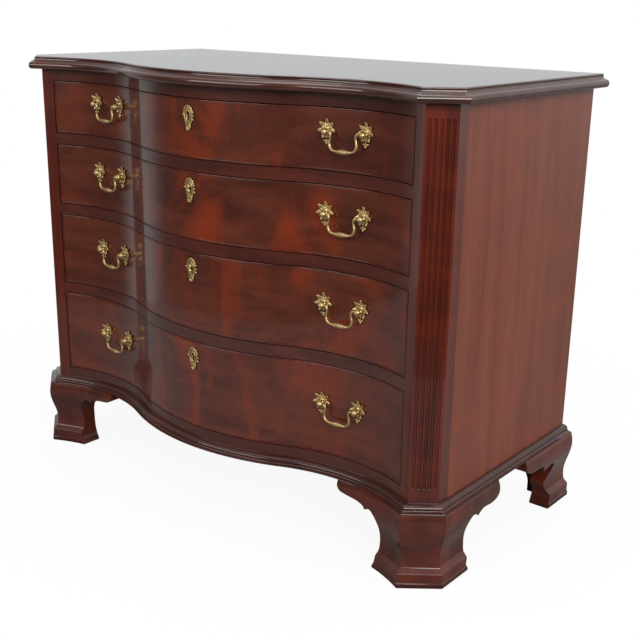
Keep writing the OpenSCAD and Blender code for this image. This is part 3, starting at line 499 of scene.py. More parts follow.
# %% Model the rear feet
rear_foot = prism("ogee_foot_rear_right", [(half_w + p, rear_y, z) for p, z in foot_profile],
                  (0, -rear_run, 0))
cut_away(rear_foot, bracket_void("rear_void", rear_bracket, side_void,
                                 lambda u, z: (side_void_x, rear_y - u, z)))
brace = block("brace", (half_w - 118.1 * MM, rear_y - 18 * MM, 0),
              (half_w - 18.1 * MM, rear_y, foot_h))
bow_at = Matrix.Translation((half_w - 118 * MM, rear_y, 0)) @ turned(90, "X")
cut_away(brace, bore("bow", bow_at, 62 * MM, -30 * MM, 30 * MM, 96))
rear_foot = join([rear_foot, brace])
feet = []
for foot in (front_foot, rear_foot):
    soften(foot, 0.5 * MM, 50)
    smooth(foot)
    other = twin(foot, foot.name.replace("right", "left"))
    smooth(other)
    feet += [(each, each.name.replace("ogee_", "")) for each in (foot, other)]
tell(*(foot for foot, node in feet))

# %% [markdown]
# ## Drawer fronts
# A front is sawn to the serpentine from thick mahogany. A fine bead runs around
# its edge, set off by a narrow quirk. It is made as a swept bar first. Its arris
# is rounded, and then the face is inset four times, which leaves the bead, the two
# walls of the quirk and its floor. The back gets the dovetail sockets, the groove,
# the bores for the pulls and the pocket for the lock, cut one after another.

# %% One plain serpentine bar
front_t = 22 * MM
box_half = 443.5 * MM
box_inner = box_half - 12 * MM
gap_low, gap_top, gap_run = 1.2 * MM, 1.5 * MM, 0.3 * MM
bead_and_quirk = ((1.4, 0), (0.25, -0.7), (0.35, 0), (0.25, 0.5))      # width and rise in mm


def serpentine_bar(name, out, depth, z0, z1, half_length):
    """Closed bar between two offsets of the front, sawn off at both ends"""
    profile = [(out, z0), (out, z1), (out - depth, z1), (out - depth, z0)]
    bar = draw(name, [(0, front_y - p, z) for p, z in profile], closed=True)
    follow_front()
    saw((half_length, 0, 0), (1, 0, 0), fill=True)
    done()
    both_halves(bar)
    return bar


def keyhole_tool(name, z, y0, y1, wider=0.0):
    """Round eye over a slot with a round toe, through the front"""
    eye, toe, half_l = 3.0 + wider, 2.0 + 1.6 * wider, 7.0 + wider
    half = [(eye * math.sin(a), half_l - eye + eye * math.cos(a))
            for a in (math.radians(t) for t in range(0, 151, 10))]
    half += [(toe * math.sin(a), toe - half_l + toe * math.cos(a))
             for a in (math.radians(t) for t in range(48, 181, 12))]
    ring = [(x * MM, y0, z + h * MM) for x, h in half]
    ring += [(-x * MM, y0, z + h * MM) for x, h in reversed(half) if x > NEAR]
    return prism(name, ring, (0, y1 - y0, 0))


# %% Sockets, and the places of pulls and keyholes
pull_x, pull_half = 297 * MM, 38 * MM
head_out = 11 * MM
socket_pitch, socket_step = 33 * MM, 13.1 * MM


def dovetail_tools(number, z0, z1):
    """Rows of dovetail sockets for both sides of a drawer"""
    count = max(2, round((z1 - z0) / socket_pitch))
    tip = face_y(box_inner) + 5.9 * MM
    root = face_y(box_inner) + 30 * MM
    trapezium = ((root, -7.6 * MM), (tip, -10.1 * MM), (tip, 10.1 * MM), (root, 7.6 * MM))
    tools = []
    for side in (1, -1):
        for k in range(count):
            z = z0 + (k + 0.5) * (z1 - z0) / count
            ring = [(side * (box_inner - 0.1 * MM), y, z + h) for y, h in trapezium]
            tools.append(prism(f"socket_{number}_{k}", ring, (side * socket_step, 0, 0)))
    return tools


def seat_frame(x, z):
    """Frame of a post on the right-hand hollow: X along the face, Y up, Z outwards"""
    at = Vector((x, face_y(x), 0))
    out = (hollow_c - at).normalized()
    along = Vector((0, 0, 1)).cross(out)
    matrix = Matrix((along, Vector((0, 0, 1)), out)).transposed().to_4x4()
    matrix.translation = at + Vector((0, 0, z))
    return matrix


def pull_z(number):
    return sum(openings[number]) / 2 + 13 * MM


def key_z(number):
    return openings[number][1] - 31 * MM


# %% Model the four drawer fronts
def drawer_front(number):
    low, high = openings[number]
    z0, z1, side_low = low + gap_low, high - gap_top, low + gap_run
    front = serpentine_bar(f"drawer_{number}_face", 0, front_t, z0, z1, box_half)
    edit(front)
    choose(front, lambda at, out: out.y < -0.5 and at.y < face_y(at.x) + 2 * MM
           and abs(at.x) < box_half - 1e-5, "FACE")
    bpy.ops.mesh.region_to_loop()
    bpy.ops.mesh.bevel(offset=1.0 * MM, segments=3, profile=0.5, affect="EDGES")
    choose(front, lambda at, out: out.y < -0.5 and abs(out.z) < 0.1 and at.y < face_y(at.x) + MM
           and abs(at.x) < box_half - 1.1 * MM, "FACE")
    for width, rise in bead_and_quirk:
        bpy.ops.mesh.inset(thickness=width * MM, depth=rise * MM)
    done()
    soften(front, 0.45 * MM, 48)
    lock_y = front_y + front_t - 5 * MM
    lock_half = 30.1 * MM
    groove_z = side_low + 9 * MM
    tools = dovetail_tools(number, side_low, z1 - 5 * MM)
    tools += [
        serpentine_bar(f"groove_{number}", -17 * MM, 8 * MM, groove_z - 0.1 * MM,
                       groove_z + 7.1 * MM, box_inner - 0.5 * MM),
        block(f"pocket_{number}", (-lock_half, lock_y, z1 - 44.1 * MM),
              (lock_half, lock_y + 12 * MM, z1 + MM)),
        block(f"pocket_lip_{number}", (-lock_half, lock_y - 4.1 * MM, z1 - 2.1 * MM),
              (lock_half, lock_y + 0.5 * MM, z1 + MM)),
        keyhole_tool(f"keyhole_{number}", key_z(number), front_y - 2 * MM, lock_y + MM)]
    drills = [bore(f"bore_{number}", seat_frame(x, pull_z(number)), 3.2 * MM, -30 * MM, 5 * MM)
              for x in (pull_x - pull_half, pull_x + pull_half)]
    tools += drills + [twin(drill, drill.name + "_left") for drill in drills]
    for tool in tools:
        cut_away(front, tool)
    smooth(front)
    return front


fronts = [drawer_front(n) for n in (1, 2, 3, 4)]
tell(*fronts)

# %% [markdown]
# ## Cast brass: the rosettes
# Each post stands on a small starry rosette of seven leaves, with a husk hanging
# below it that ends in three lobes. Castings have soft hollows, so the leaves are
# modelled once, laid out around a boss, and melted into one skin with a voxel
# remesh, which is close to what sand casting does to crisp wax.

# %% One leaf
def leaf(name, length, width, thick, rise, rib):
    """Pointed leaf along +X, its face towards +Z"""
    cells = 7
    piece = started(name, bpy.ops.mesh.primitive_grid_add, x_subdivisions=cells,
                    y_subdivisions=4, size=1)
    edit(piece)
    bpy.ops.transform.translate(value=(0.5, 0, 0))
    bpy.ops.transform.resize(value=(length, width, 1), center_override=(0, 0, 0))
    for k in range(cells + 1):
        t = k / cells
        x = length * t
        choose(piece, lambda co: abs(co.x - x) < length * 0.01)
        breadth = 1.9 * (t + 0.12) ** 0.5 * (1.06 - t) ** 0.85
        bpy.ops.transform.resize(value=(1, breadth, 1), center_override=(x, 0, 0))
        bpy.ops.transform.translate(value=(0, 0, rise * t * t))
    choose(piece, lambda co: abs(co.y) < width * 0.02)
    bpy.ops.transform.translate(value=(0, 0, rib))
    done()
    apply(piece, "SOLIDIFY", thickness=thick, offset=-1)
    apply(piece, "SUBSURF", levels=1, render_levels=1)
    return piece


def pose(x, y, z, turn, tilt, size=1):
    """Place and turn about Z, then a tilt about the leaf's own Y, in mm and degrees"""
    return (Matrix.Translation((x * MM, y * MM, z * MM)) @ turned(turn, "Z")
            @ turned(tilt, "Y") @ Matrix.Scale(size, 4))


def ball(name, radius, at, squash=(1, 1, 1)):
    piece = started(name, bpy.ops.mesh.primitive_uv_sphere_add, segments=20, ring_count=12,
                    radius=radius * MM)
    edit(piece)
    bpy.ops.transform.resize(value=squash)
    bpy.ops.transform.translate(value=Vector(at) * MM)
    done()
    return piece


def rod(name, points, radii, round_steps=4):
    """Cast rod through points, each with its own radius, both in mm"""
    piece = started(name, bpy.ops.curve.primitive_nurbs_path_add)
    line = piece.data.splines[0]
    if len(line.points) > len(points):
        piece.data.splines.remove(line)
        line = piece.data.splines.new("NURBS")
    line.points.add(len(points) - len(line.points))
    line.use_endpoint_u = True
    for point, at, radius in zip(line.points, points, radii):
        point.co = (*(Vector(at) * MM), 1)
        point.radius = radius
    line.order_u = 3
    piece.data.resolution_u = 5
    piece.data.bevel_depth = MM
    piece.data.bevel_resolution = round_steps
    piece.data.use_fill_caps = True
    only(piece)
    bpy.ops.object.convert(target="MESH")
    piece = bpy.context.object
    piece.data.name = name
    weld(piece, NEAR)
    return piece


def cast(pieces, name, voxel=0.34):
    """Joins pieces and melts them into one closed skin"""
    piece = join(pieces, name)
    apply(piece, "REMESH", mode="VOXEL", voxel_size=voxel * MM)
    apply(piece, "SMOOTH", factor=0.5, iterations=2)
    only(piece)
    bpy.ops.object.shade_smooth()
    return piece


def flat_back(piece):
    """Saws the back of a casting flat"""
    edit(piece)
    saw((0, 0, 0.05 * MM), (0, 0, -1), fill=True)
    done()
    weld(piece, NEAR)


# %% Model one rosette
def around(radius, angle, height):
    return radius * math.cos(angle), radius * math.sin(angle), height


petals = 7
small_leaf = leaf("small_leaf", 9.6 * MM, 8.4 * MM, 1.3 * MM, 2.4 * MM, 1.0 * MM)
parts = []
for k in range(petals):
    turn = 90 + 360 * k / petals
    a = math.radians(turn)
    parts += [placed_copy(small_leaf, pose(*around(7.4, a, 1.2), turn, -2), f"leaf_{k}"),
              ball(f"bud_{k}", 1.7, around(8.8, a + math.pi / petals, 1.4), (1, 1, 0.9))]
parts += [ball("disc", 9.6, (0, 0, 0.5), (1, 1, 0.2)),
          ball("boss", 4.2, (0, 1.0, 2.2), (1, 1, 0.6)),
          rod("husk_stem", [(0, -7, 1.4), (0.4, -12, 1.8), (0, -17, 1.5), (0, -22.5, 1.2)],
              [2.6, 1.7, 1.2, 1.5])]
scroll_course = ((1.6, -9, 1.2), (3.4, -10.2, 1.4), (3.2, -12.4, 1.2), (1.4, -13.2, 1.1))
for side in (-1, 1):
    parts += [rod(f"scroll_{side}", [(side * x, y, z) for x, y, z in scroll_course],
                  [1.0, 1.1, 1.0, 0.9]),
              ball(f"clover_{side}", 2.5, (side * 3.6, -19.8, 1.4), (1, 0.9, 0.7))]
parts.append(ball("clover_tip", 2.6, (0, -23.4, 1.4), (0.9, 1.1, 0.7)))
rosette = cast(parts, "rosette")
flat_back(rosette)
remove(small_leaf)
tell(rosette)

# %% [markdown]
# ## Turned posts
# A post is a turned pin with a ball for a head. A lathe profile spun once around
# its axis gives it, and a small drill makes the hole where the bail turns.

# %% Model one post and its nut
def lathe(name, profile, steps=32):
    """Spins (radius, height) points around Z"""
    piece = draw(name, [(r * MM, 0, z * MM) for r, z in profile])
    bpy.ops.mesh.spin(steps=steps, angle=2 * math.pi, center=(0, 0, 0), axis=(0, 0, 1))
    done()
    weld(piece, NEAR)
    return piece


head = arc((0, 11), (6, 6), -58, 76, 14)
post = lathe("post", [(0, -26), (3, -26), (3, 0), (4.4, 0), (4.4, 3.9), (3.6, 4.5)] + head
             + [(1.2, 17.0), (0.8, 17.2), (0, 17.25)])
nut = lathe("nut", [(3.05, -26), (6, -26), (6, -22.05), (3.05, -22.05), (3.05, -26)], 12)
tell(post, nut)

# %% [markdown]
# ## The bails
# A bail is a cast loop: its ends turn in the posts, curl over like swans' necks,
# run down and outwards, and meet in a leafy grip. Its thickness changes all the
# time, so it is drawn as a curve whose points carry their own radius.

# %% Frame of a bail and its parts
def head_point(x):
    at = Vector((x, face_y(x), 0))
    return at + (hollow_c - at).normalized() * head_out


head_a, head_b = head_point(pull_x - pull_half), head_point(pull_x + pull_half)
axis_half = (head_b - head_a).length / 2 / MM
axis_turn = math.atan2(head_b.y - head_a.y, head_b.x - head_a.x)
pin_start = axis_half - 6.5


def bail_frame(number):
    """X along the pins, Y towards the drawer, Z up"""
    matrix = Matrix.Rotation(axis_turn, 4, "Z")
    matrix.translation = (head_a + head_b) / 2 + Vector((0, 0, pull_z(number)))
    return matrix


neck_and_arm = (
    (0.6, 0), (-0.8, 0.2), (-3.4, -0.2), (-5.4, -2.2), (-6.2, -5.6), (-5.6, -10.0),
    (-4.4, -14.6), (-3.8, -19.0), (-4.8, -23.4), (-7.4, -27.0), (-11.2, -29.2))
half_line = [(pin_start + x, 0, z) for x, z in neck_and_arm]
half_line += [(15.2, 0, -30.0), (12.0, 0, -30.2), (7.4, 0, -30.4), (3.2, 0, -30.4)]
half_radii = [1.9, 2.4, 2.6, 2.5, 2.2, 1.9, 2.1, 2.4, 2.6, 2.5, 2.2, 2.1, 2.7, 3.8, 4.3]
line = half_line + [(0, 0, -30.4)] + [(-x, y, z) for x, y, z in reversed(half_line)]
radii = half_radii + [4.3] + half_radii[::-1]
bail_parts = [rod("bail_bar", line, radii, 6)]
for side in (-1, 1):
    for name, size, x, y, z, squash in (
            ("ring", 3.0, 13.4, 0, -30.1, (0.45, 1, 1)),
            ("corner_leaf", 2.9, pin_start - 4.6, 0, -22.4, (0.95, 0.9, 1.4)),
            ("neck_leaf", 2.7, pin_start - 3.0, -0.3, 0.1, (1.2, 0.95, 0.9))):
        bail_parts.append(ball(f"{name}_{side}", size, (side * x, y, z), squash))
ribs = 9
rib_course = ((-11, 1.7, -30), (-5.5, 3.5, -30.1), (0, 4.0, -30.2), (5.5, 3.5, -30.1),
              (11, 1.7, -30))
for k in range(ribs):
    a = 2 * math.pi * k / ribs
    rib = [(x, out * math.cos(a), z + out * math.sin(a)) for x, out, z in rib_course]
    bail_parts.append(rod(f"rib_{k}", rib, [0.5, 0.75, 0.6, 0.75, 0.5], 2))
bail_cast = cast(bail_parts, "bail_cast", 0.4)
pins = [bore(f"pin_{side}", turned(90, "Y"), 1.5 * MM,
             *sorted(side * (pin_start + end) * MM for end in (-0.4, 5.0)))
        for side in (-1, 1)]
bail = join([bail_cast, *pins], "bail")
tell(bail)

# %% Cut the pin holes in the posts
def drilled_post(name, toward):
    """Post with a hole on the side where its bail enters"""
    piece = placed_copy(post, Matrix.Identity(4), name)
    tool = bore("post_drill", turned(90, "Y"), 1.7 * MM, -0.6 * MM, 8 * MM)
    if toward < 0:
        tool.data.transform(turned(180, "Z"))
    tool.data.transform(Matrix.Translation((0, 0, head_out)))
    cut_away(piece, tool)
    return piece


outer_post, inner_post = drilled_post("outer_post", -1), drilled_post("inner_post", 1)

# %% Place the brass of every drawer
star_on_post = Matrix.Translation((0, 4 * MM, 0.35 * MM))
brass_posts, brass_rosettes, brass_bails = [], [], []
for n in (1, 2, 3, 4):
    posts_here, rosettes_here = [], []
    for x, model in ((pull_x - pull_half, inner_post), (pull_x + pull_half, outer_post)):
        seat = seat_frame(x, pull_z(n))
        for source, matrix, group in (
                (model, seat, posts_here), (nut, seat, posts_here),
                (rosette, seat @ star_on_post, rosettes_here)):
            right = placed_copy(source, matrix, f"{source.name}_{n}_{len(group)}")
            group += [right, twin(right, right.name + "_left")]
    brass_posts.append(join(posts_here, f"drawer_{n}_posts"))
    brass_rosettes.append(join(rosettes_here, f"drawer_{n}_rosettes"))
    right = placed_copy(bail, bail_frame(n), f"drawer_{n}_handle_right")
    brass_bails.append((right, f"drawer_{n}_bail_right"))
    brass_bails.append((twin(right, f"drawer_{n}_handle_left"), f"drawer_{n}_bail_left"))
for spare in (post, nut, rosette, bail, outer_post, inner_post):
    remove(spare)
for piece in brass_posts + brass_rosettes:
    smooth(piece, 40)
tell(*brass_posts, *brass_rosettes)

# %% [markdown]
# ## Key plates
# The key plate is a small rococo frame: a raised ring about the keyhole, a C scroll
# on the left, leaves breaking out on the right, a shell above and a drop below.
# Each of these is a short rod or leaf on a thin plate, melted together like the
# rosettes, and the keyhole is cut last so that its edge stays sharp.

# %% Model one key plate
plate = []
for k, (x, z, *oval) in enumerate([
        (-0.2, 4.4, 11.0, 13.8, 0.7), (-0.3, -11.5, 6.8, 5.6, 0.9), (-0.5, -19.6, 5.8, 6.8, 0.7)]):
    plate.append(ball(f"plate_{k}", 1, (x, z, 0.5), oval))


def hoop(name, x, z, wide, tall, height, radius):
    """Closed oval rod, flat on the plate"""
    turns = [math.radians(t) for t in range(0, 381, 20)]
    return rod(name, [(x + wide * math.cos(t), z + tall * math.sin(t), height) for t in turns],
               [radius] * len(turns))


plate.append(hoop("key_ring", 0, 0, 4.9, 9.2, 1.9, 1.15))
plate.append(hoop("drop_ring", -0.5, -20.0, 4.4, 5.2, 1.7, 1.5))
for name, line, sizes in (
        ("left_scroll",
         [(-1.5, 17.4, 1.5), (-6.0, 15.6, 1.8), (-9.2, 10.8, 1.9), (-10.2, 4.2, 1.9),
          (-9.4, -2.2, 1.9), (-6.8, -7.4, 1.9), (-4.0, -10.6, 1.9), (-1.8, -12.4, 1.7)],
         [1.0, 1.3, 1.5, 1.4, 1.5, 1.3, 1.2, 1.0]),
        ("right_scroll",
         [(1.6, 17.2, 1.5), (5.4, 15.2, 1.8), (8.4, 10.8, 1.9), (9.4, 5.0, 1.9), (8.2, -1.0, 1.9),
          (7.4, -5.6, 1.9), (5.0, -9.8, 1.9), (2.4, -12.6, 1.7)],
         [1.0, 1.4, 1.3, 1.5, 1.3, 1.5, 1.3, 1.0]),
        ("left_waist",
         [(-3.0, -11.2, 1.6), (-6.6, -12.4, 1.8), (-6.4, -15.2, 1.7), (-3.4, -15.4, 1.6)],
         [1.0, 1.3, 1.2, 0.9]),
        ("right_waist",
         [(3.0, -11.6, 1.6), (5.8, -13.2, 1.8), (5.4, -15.8, 1.7), (3.0, -15.6, 1.6)],
         [1.0, 1.3, 1.2, 0.9])):
    plate.append(rod(name, line, sizes))
for k, (x, z, r) in enumerate([
        (0, 17.6, 1.8), (-3.6, 16.9, 1.4), (3.4, 16.7, 1.5), (-7.9, 13.9, 1.5), (-10.6, 7.8, 1.4),
        (-9.9, -4.6, 1.4), (7.4, 13.6, 1.6), (9.6, 9.0, 1.7), (6.8, -9.4, 1.5), (0, -25.2, 1.5),
        (0.2, 12.6, 1.3), (-5.4, -9.4, 1.2)]):
    plate.append(ball(f"frill_{k}", r, (x, z, 1.5), (1, 1, 0.8)))
plate_leaf = leaf("plate_leaf", 6.0 * MM, 4.6 * MM, 1.5 * MM, 0.6 * MM, 0.8 * MM)
for k, (x, z, turn, size) in enumerate([
        (-9.4, 1.4, 182, 1.0), (-7.0, -8.6, 218, 0.7), (8.8, 4.4, 28, 0.9),
        (8.9, -0.8, -2, 0.95), (7.8, -5.4, -24, 1.0)]):
    plate.append(placed_copy(plate_leaf, pose(x, z, 1.3, turn, -3, size), f"plate_leaf_{k}"))
keyplate = cast(plate, "keyplate", 0.3)
remove(plate_leaf)
flat_back(keyplate)
to_face = Matrix(((1, 0, 0, 0), (0, 0, -1, front_y - 0.1 * MM), (0, 1, 0, 0), (0, 0, 0, 1)))
keyplates = []
for n in (1, 2, 3, 4):
    at = Matrix.Translation((0, 0, key_z(n)))
    piece = placed_copy(keyplate, at @ to_face, f"drawer_{n}_keyplate")
    cut_away(piece, keyhole_tool(f"plate_hole_{n}", key_z(n), front_y - 8 * MM,
                                 front_y + 3 * MM, 0.5))
    only(piece)
    bpy.ops.object.shade_smooth()
    keyplates.append(piece)
remove(keyplate)
tell(*keyplates)

# %% [markdown]
# ## Who stands for whom
# Each new piece rides on the body of the node that it stands for, so a drawer
# carries its face, its posts and its key plate, and each bail swings by itself.

# %% Ride and replace
def dress(piece, body, slot, *nodes):
    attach(piece, body)
    if nodes:
        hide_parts(*nodes)


dress(top, "case", "deep_mahogany", "top_board")
dress(base_mould, "case", "deep_mahogany", "base_moulding")
for foot, node in feet:
    dress(foot, "case", "deep_mahogany", node)
for n, (front, posts, stars, key) in enumerate(
        zip(fronts, brass_posts, brass_rosettes, keyplates), 1):
    dress(front, f"drawer_{n}", "figured_mahogany", f"drawer_{n}_front")
    dress(posts, f"drawer_{n}", "antique_brass", f"drawer_{n}_pull_posts")
    dress(stars, f"drawer_{n}", "antique_brass")
    dress(key, f"drawer_{n}", "antique_brass", f"drawer_{n}_escutcheon")
for piece, node in brass_bails:
    dress(piece, node, "antique_brass", node)

# %% [markdown]
# ## Mahogany
# Polished mahogany shows four things at once: broad warm and dark bands from the
# way it grew, fine lines along the grain, short dark pores, and a cloudy figure
# that runs across. Four noises, stretched along the grain by different amounts,
# give these, and a fifth thins the figure in places. A clear coat gives the French
# polish. Ambient occlusion paints shade into the colour of the narrow quirks of
# the fronts, the flutes of the corner posts and the inner faces of the feet. On
# the back, the pattern jumps from board to board.

# %% Helpers for materials
class Graph:
    """The nodes of one material or of the world"""

    def __init__(self, tree):
        self.nodes, self.links = tree.nodes, tree.links
        tree.nodes.clear()

    def node(self, kind, inputs=None, **settings):
        """New node; an input is a value or the output of another node"""
        node = self.nodes.new("ShaderNode" + kind)
        for key, value in settings.items():
            setattr(node, key, value)
        for place, value in (inputs or {}).items():
            if isinstance(value, bpy.types.NodeSocket):
                self.links.new(value, node.inputs[place])
            else:
                node.inputs[place].default_value = value
        return node

    def where(self, kind="Object"):
        return self.node("TexCoord").outputs[kind]

    def noise(self, place, scale, detail=4, rough=0.55, distortion=0.0):
        return self.node("TexNoise", {"Vector": place, "Scale": scale, "Detail": detail,
                                      "Roughness": rough, "Distortion": distortion}).outputs["Fac"]

    def stretched(self, place, scale, shift=(0, 0, 0), turn=(0, 0, 0)):
        return self.node("Mapping", {"Vector": place, "Scale": scale, "Location": shift,
                                     "Rotation": turn}).outputs["Vector"]

    def ramp(self, value, *stops, interpolation="LINEAR"):
        """Colours, or greys given as numbers, at places along a value"""
        node = self.node("ValToRGB", {"Fac": value})
        band = node.color_ramp
        band.interpolation = interpolation
        while len(band.elements) < len(stops):
            band.elements.new(0.5)
        for element, (place, colour) in zip(band.elements, stops):
            element.position = place
            element.color = grey(colour) if isinstance(colour, (int, float)) else colour
        return node.outputs["Color"]

    def mixed(self, kind, factor, a, b):
        return self.node("Mix", {0: factor, 6: a, 7: b}, data_type="RGBA",
                         blend_type=kind).outputs[2]

    def times(self, a, b, factor=1.0):
        return self.mixed("MULTIPLY", factor, a, b)

    def eased(self, value, low, high, to_low=0.0, to_high=1.0):
        """Maps a value between two levels with soft ends"""
        return self.node("MapRange", {0: value, 1: low, 2: high, 3: to_low, 4: to_high},
                         interpolation_type="SMOOTHSTEP").outputs[0]

    def maths(self, kind, *values):
        return self.node("Math", dict(enumerate(values)), operation=kind).outputs[0]

    def recess(self, reach):
        """Near 0 deep in a hollow and 1 in the open"""
        return self.node("AmbientOcclusion", {"Distance": reach}, samples=6).outputs["AO"]

    def surface(self, relief, depth, height, inputs):
        """Principled surface with a fine relief, as the output of the material"""
        bump = self.node("Bump", {"Strength": relief, "Distance": depth, "Height": height})
        shader = self.node("BsdfPrincipled", {**inputs, "Normal": bump.outputs["Normal"]})
        self.node("OutputMaterial", {"Surface": shader.outputs["BSDF"]})


def fresh(name):
    material = bpy.data.materials.new(name)
    material.use_nodes = True
    return material, Graph(material.node_tree)


def srgb(*colour):
    """Colour as read on a screen, 11 to 255, in the renderer's linear light"""
    return (*(((c / 255 + 0.055) / 1.055) ** 2.4 for c in colour), 1)


def grey(value):
    return (value, value, value, 1)


def wood(name, along, *colours, rough=0.24, coat=0.75, figure=0.3, shift=0.0, pores=0.5,
         turn=(0, 0, 0), hollow=0.0, fine=0.5, relief=0.12, heart=False, planks=None):
    """Polished wood; along is the axis of its grain, the last colour that of its figure"""
    material, g = fresh(name)
    dark, middle, bright, glow = (srgb(*colour) for colour in colours)
    place = g.where()
    if planks:
        first, pitch = planks
        height = g.node("SeparateXYZ", {0: place}).outputs["Z"]
        row = g.maths("FLOOR", g.maths("DIVIDE", g.maths("SUBTRACT", height, first), pitch))
        sideways, upwards = g.maths("MULTIPLY", row, 3.7), g.maths("MULTIPLY", row, 0.83)
        moved = g.node("CombineXYZ", {"X": sideways, "Z": upwards}).outputs[0]
        place = g.node("VectorMath", {0: place, 1: moved}).outputs["Vector"]
    shifts = (shift, shift * 0.7, shift * 1.3)

    def grain(lengthwise, across):
        scale = [across] * 3
        scale["xyz".index(along)] = lengthwise
        return g.stretched(place, scale, shifts, turn)

    wander = g.noise(g.stretched(place, (2.1, 2.1, 2.1), shifts), 1, 2)
    bands = g.noise(grain(1.6, 26), 1, 5, distortion=0.6)
    lines = g.noise(grain(9, 420), 1, rough=0.6)
    specks = g.noise(grain(150, 2600), 1, 1, 0.4)
    cloud = g.noise(grain(11, 4.5), 1, 3, 0.5, distortion=1.1)
    patch = g.times(g.ramp(cloud, (0.42, 0), (0.68, 1), interpolation="EASE"),
                    g.ramp(wander, (0.35, 0.25), (0.62, 1)))
    if heart:
        across = g.node("SeparateXYZ", {0: place}).outputs["X"]
        off_centre = g.maths("ABSOLUTE", g.maths("SUBTRACT", across, 0.08))
        patch = g.times(patch, g.eased(off_centre, 0.16, 0.36, 1.0, 0.4))
    colour = g.ramp(bands, (0.30, dark), (0.5, middle), (0.70, bright))
    colour = g.mixed("MIX", g.times(patch, grey(figure)), colour, glow)
    colour = g.times(colour, g.ramp(lines, (0.30, 0.55), (0.62, 1.12)), fine)
    pits = g.ramp(specks, (0.26, 0), (0.36, 1))
    colour = g.times(colour, pits, pores)
    # Painted shade: ambient occlusion darkens the colour in hollows, as far as the reach given by
    # hollow.
    if hollow:
        colour = g.times(colour, g.ramp(g.recess(hollow), (0.5, 0.1), (0.88, 1)))
    g.surface(relief, 0.00004, g.times(pits, lines), {
        "Base Color": colour, "Roughness": g.ramp(lines, (0.25, rough + 0.09), (0.7, rough)),
        "Coat Weight": coat, "Coat Roughness": 0.06, "Specular IOR Level": 0.3})
    return material


def paint(material, *pieces):
    for piece in pieces:
        piece.data.materials.clear()
        piece.data.materials.append(material)


# %% The woods of this chest
# hollow sets the reach of the painted shade: the quirks of the fronts, the flutes of the corner
# posts and the insides of the feet.
front_woods = [
    wood(f"drawer_mahogany_{n}", "x", (69, 28, 17), (88, 39, 25), (106, 49, 31), (140, 50, 18),
         figure=0.85, shift=3.7 * n, turn=(0, math.radians(4 - 2 * n), 0), hollow=0.0025,
         heart=True)
    for n in (1, 2, 3, 4)]
rail_wood = wood("rail_mahogany", "x", (58, 26, 19), (76, 34, 25), (92, 42, 30), (104, 42, 24),
                 shift=1.9)
top_wood = wood("top_mahogany", "x", (50, 24, 18), (66, 32, 24), (84, 42, 30), (92, 42, 26),
                figure=0.35, shift=5.1, fine=0.2, pores=0.2, relief=0.02)
mould_wood = wood("moulding_mahogany", "x", (46, 22, 18), (62, 29, 23), (78, 36, 28), (86, 36, 24),
                  shift=7.3, coat=0.55)
post_wood = wood("corner_mahogany", "z", (66, 22, 11), (86, 29, 15), (108, 38, 20), (118, 42, 18),
                 figure=0.35, shift=2.3, hollow=0.004)
# Painted light: the sides get much lighter mahogany than the fronts, to stand for the light that
# falls on the lit side.
side_wood = wood("side_mahogany", "z", (112, 55, 38), (124, 63, 44), (136, 71, 50), (142, 62, 36),
                 figure=0.5, shift=8.9, rough=0.34, coat=0.3, fine=0.3, pores=0.3)
foot_wood = wood("foot_mahogany", "x", (58, 25, 16), (79, 34, 22), (100, 43, 27), (120, 46, 22),
                 figure=0.6, shift=4.4, coat=0.55, hollow=0.02)
plain_tones = (112, 80, 50), (140, 104, 66), (162, 124, 82), (150, 110, 70)
inner_wood = wood("secondary_pine", "x", (120, 86, 52), (150, 112, 70), (172, 134, 88),
                  (160, 118, 72), rough=0.62, shift=6.1, pores=0.2, coat=0.0)
inner_deep = wood("secondary_oak", "y", *plain_tones, rough=0.6, shift=9.4, pores=0.45, coat=0.0)
back_z = [v.co.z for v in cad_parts["back_boards"].data.vertices]
plank_h = (max(back_z) - min(back_z)) / 4
back_wood = wood("back_pine", "x", *plain_tones, rough=0.66, shift=2.7, pores=0.3,
                 planks=(min(back_z), plank_h), coat=0.0)
block_wood = wood("block_wood", "z", (54, 36, 24), (70, 48, 32), (86, 60, 40), (80, 52, 32),
                  rough=0.65, shift=3.3, pores=0.2, coat=0.0)
print("materials so far:", len(bpy.data.materials))

# %% [markdown]
# ## Brass and steel
# The brass is old and has been handled: warm and bright where fingers rub it, dark
# and greenish in the hollows. Ambient occlusion finds the hollows, whatever the
# shape. Lock brass is flatter and cleaner, and the bolts are drawn steel.

# %% The metals of this chest
def metal(name, bright, dull, rough, reach, scratches):
    material, g = fresh(name)
    place = g.where()
    blotch = g.noise(place, 340, rough=0.6)
    wear = g.ramp(g.recess(reach), (0.35, 0), (0.85, 1))
    colour = g.mixed("MIX", wear, srgb(*dull), srgb(*bright))
    g.surface(0.3, 0.0001, g.noise(g.stretched(place, scratches), 1, 3, 0.6), {
        "Metallic": 1.0,
        "Base Color": g.times(colour, g.ramp(blotch, (0.3, 0.62), (0.65, 1.1)), 0.5),
        "Roughness": g.ramp(blotch, (0.3, rough + 0.12), (0.7, rough))})
    return material


antique_brass = metal("antique_brass", (208, 178, 124), (64, 47, 18), 0.40, 0.0032, (900, 900, 900))
lock_brass = metal("lock_brass", (206, 178, 116), (120, 98, 52), 0.36, 0.004, (60, 900, 900))
bolt_steel = metal("bright_steel", (178, 178, 174), (96, 94, 90), 0.34, 0.004, (900, 900, 60))

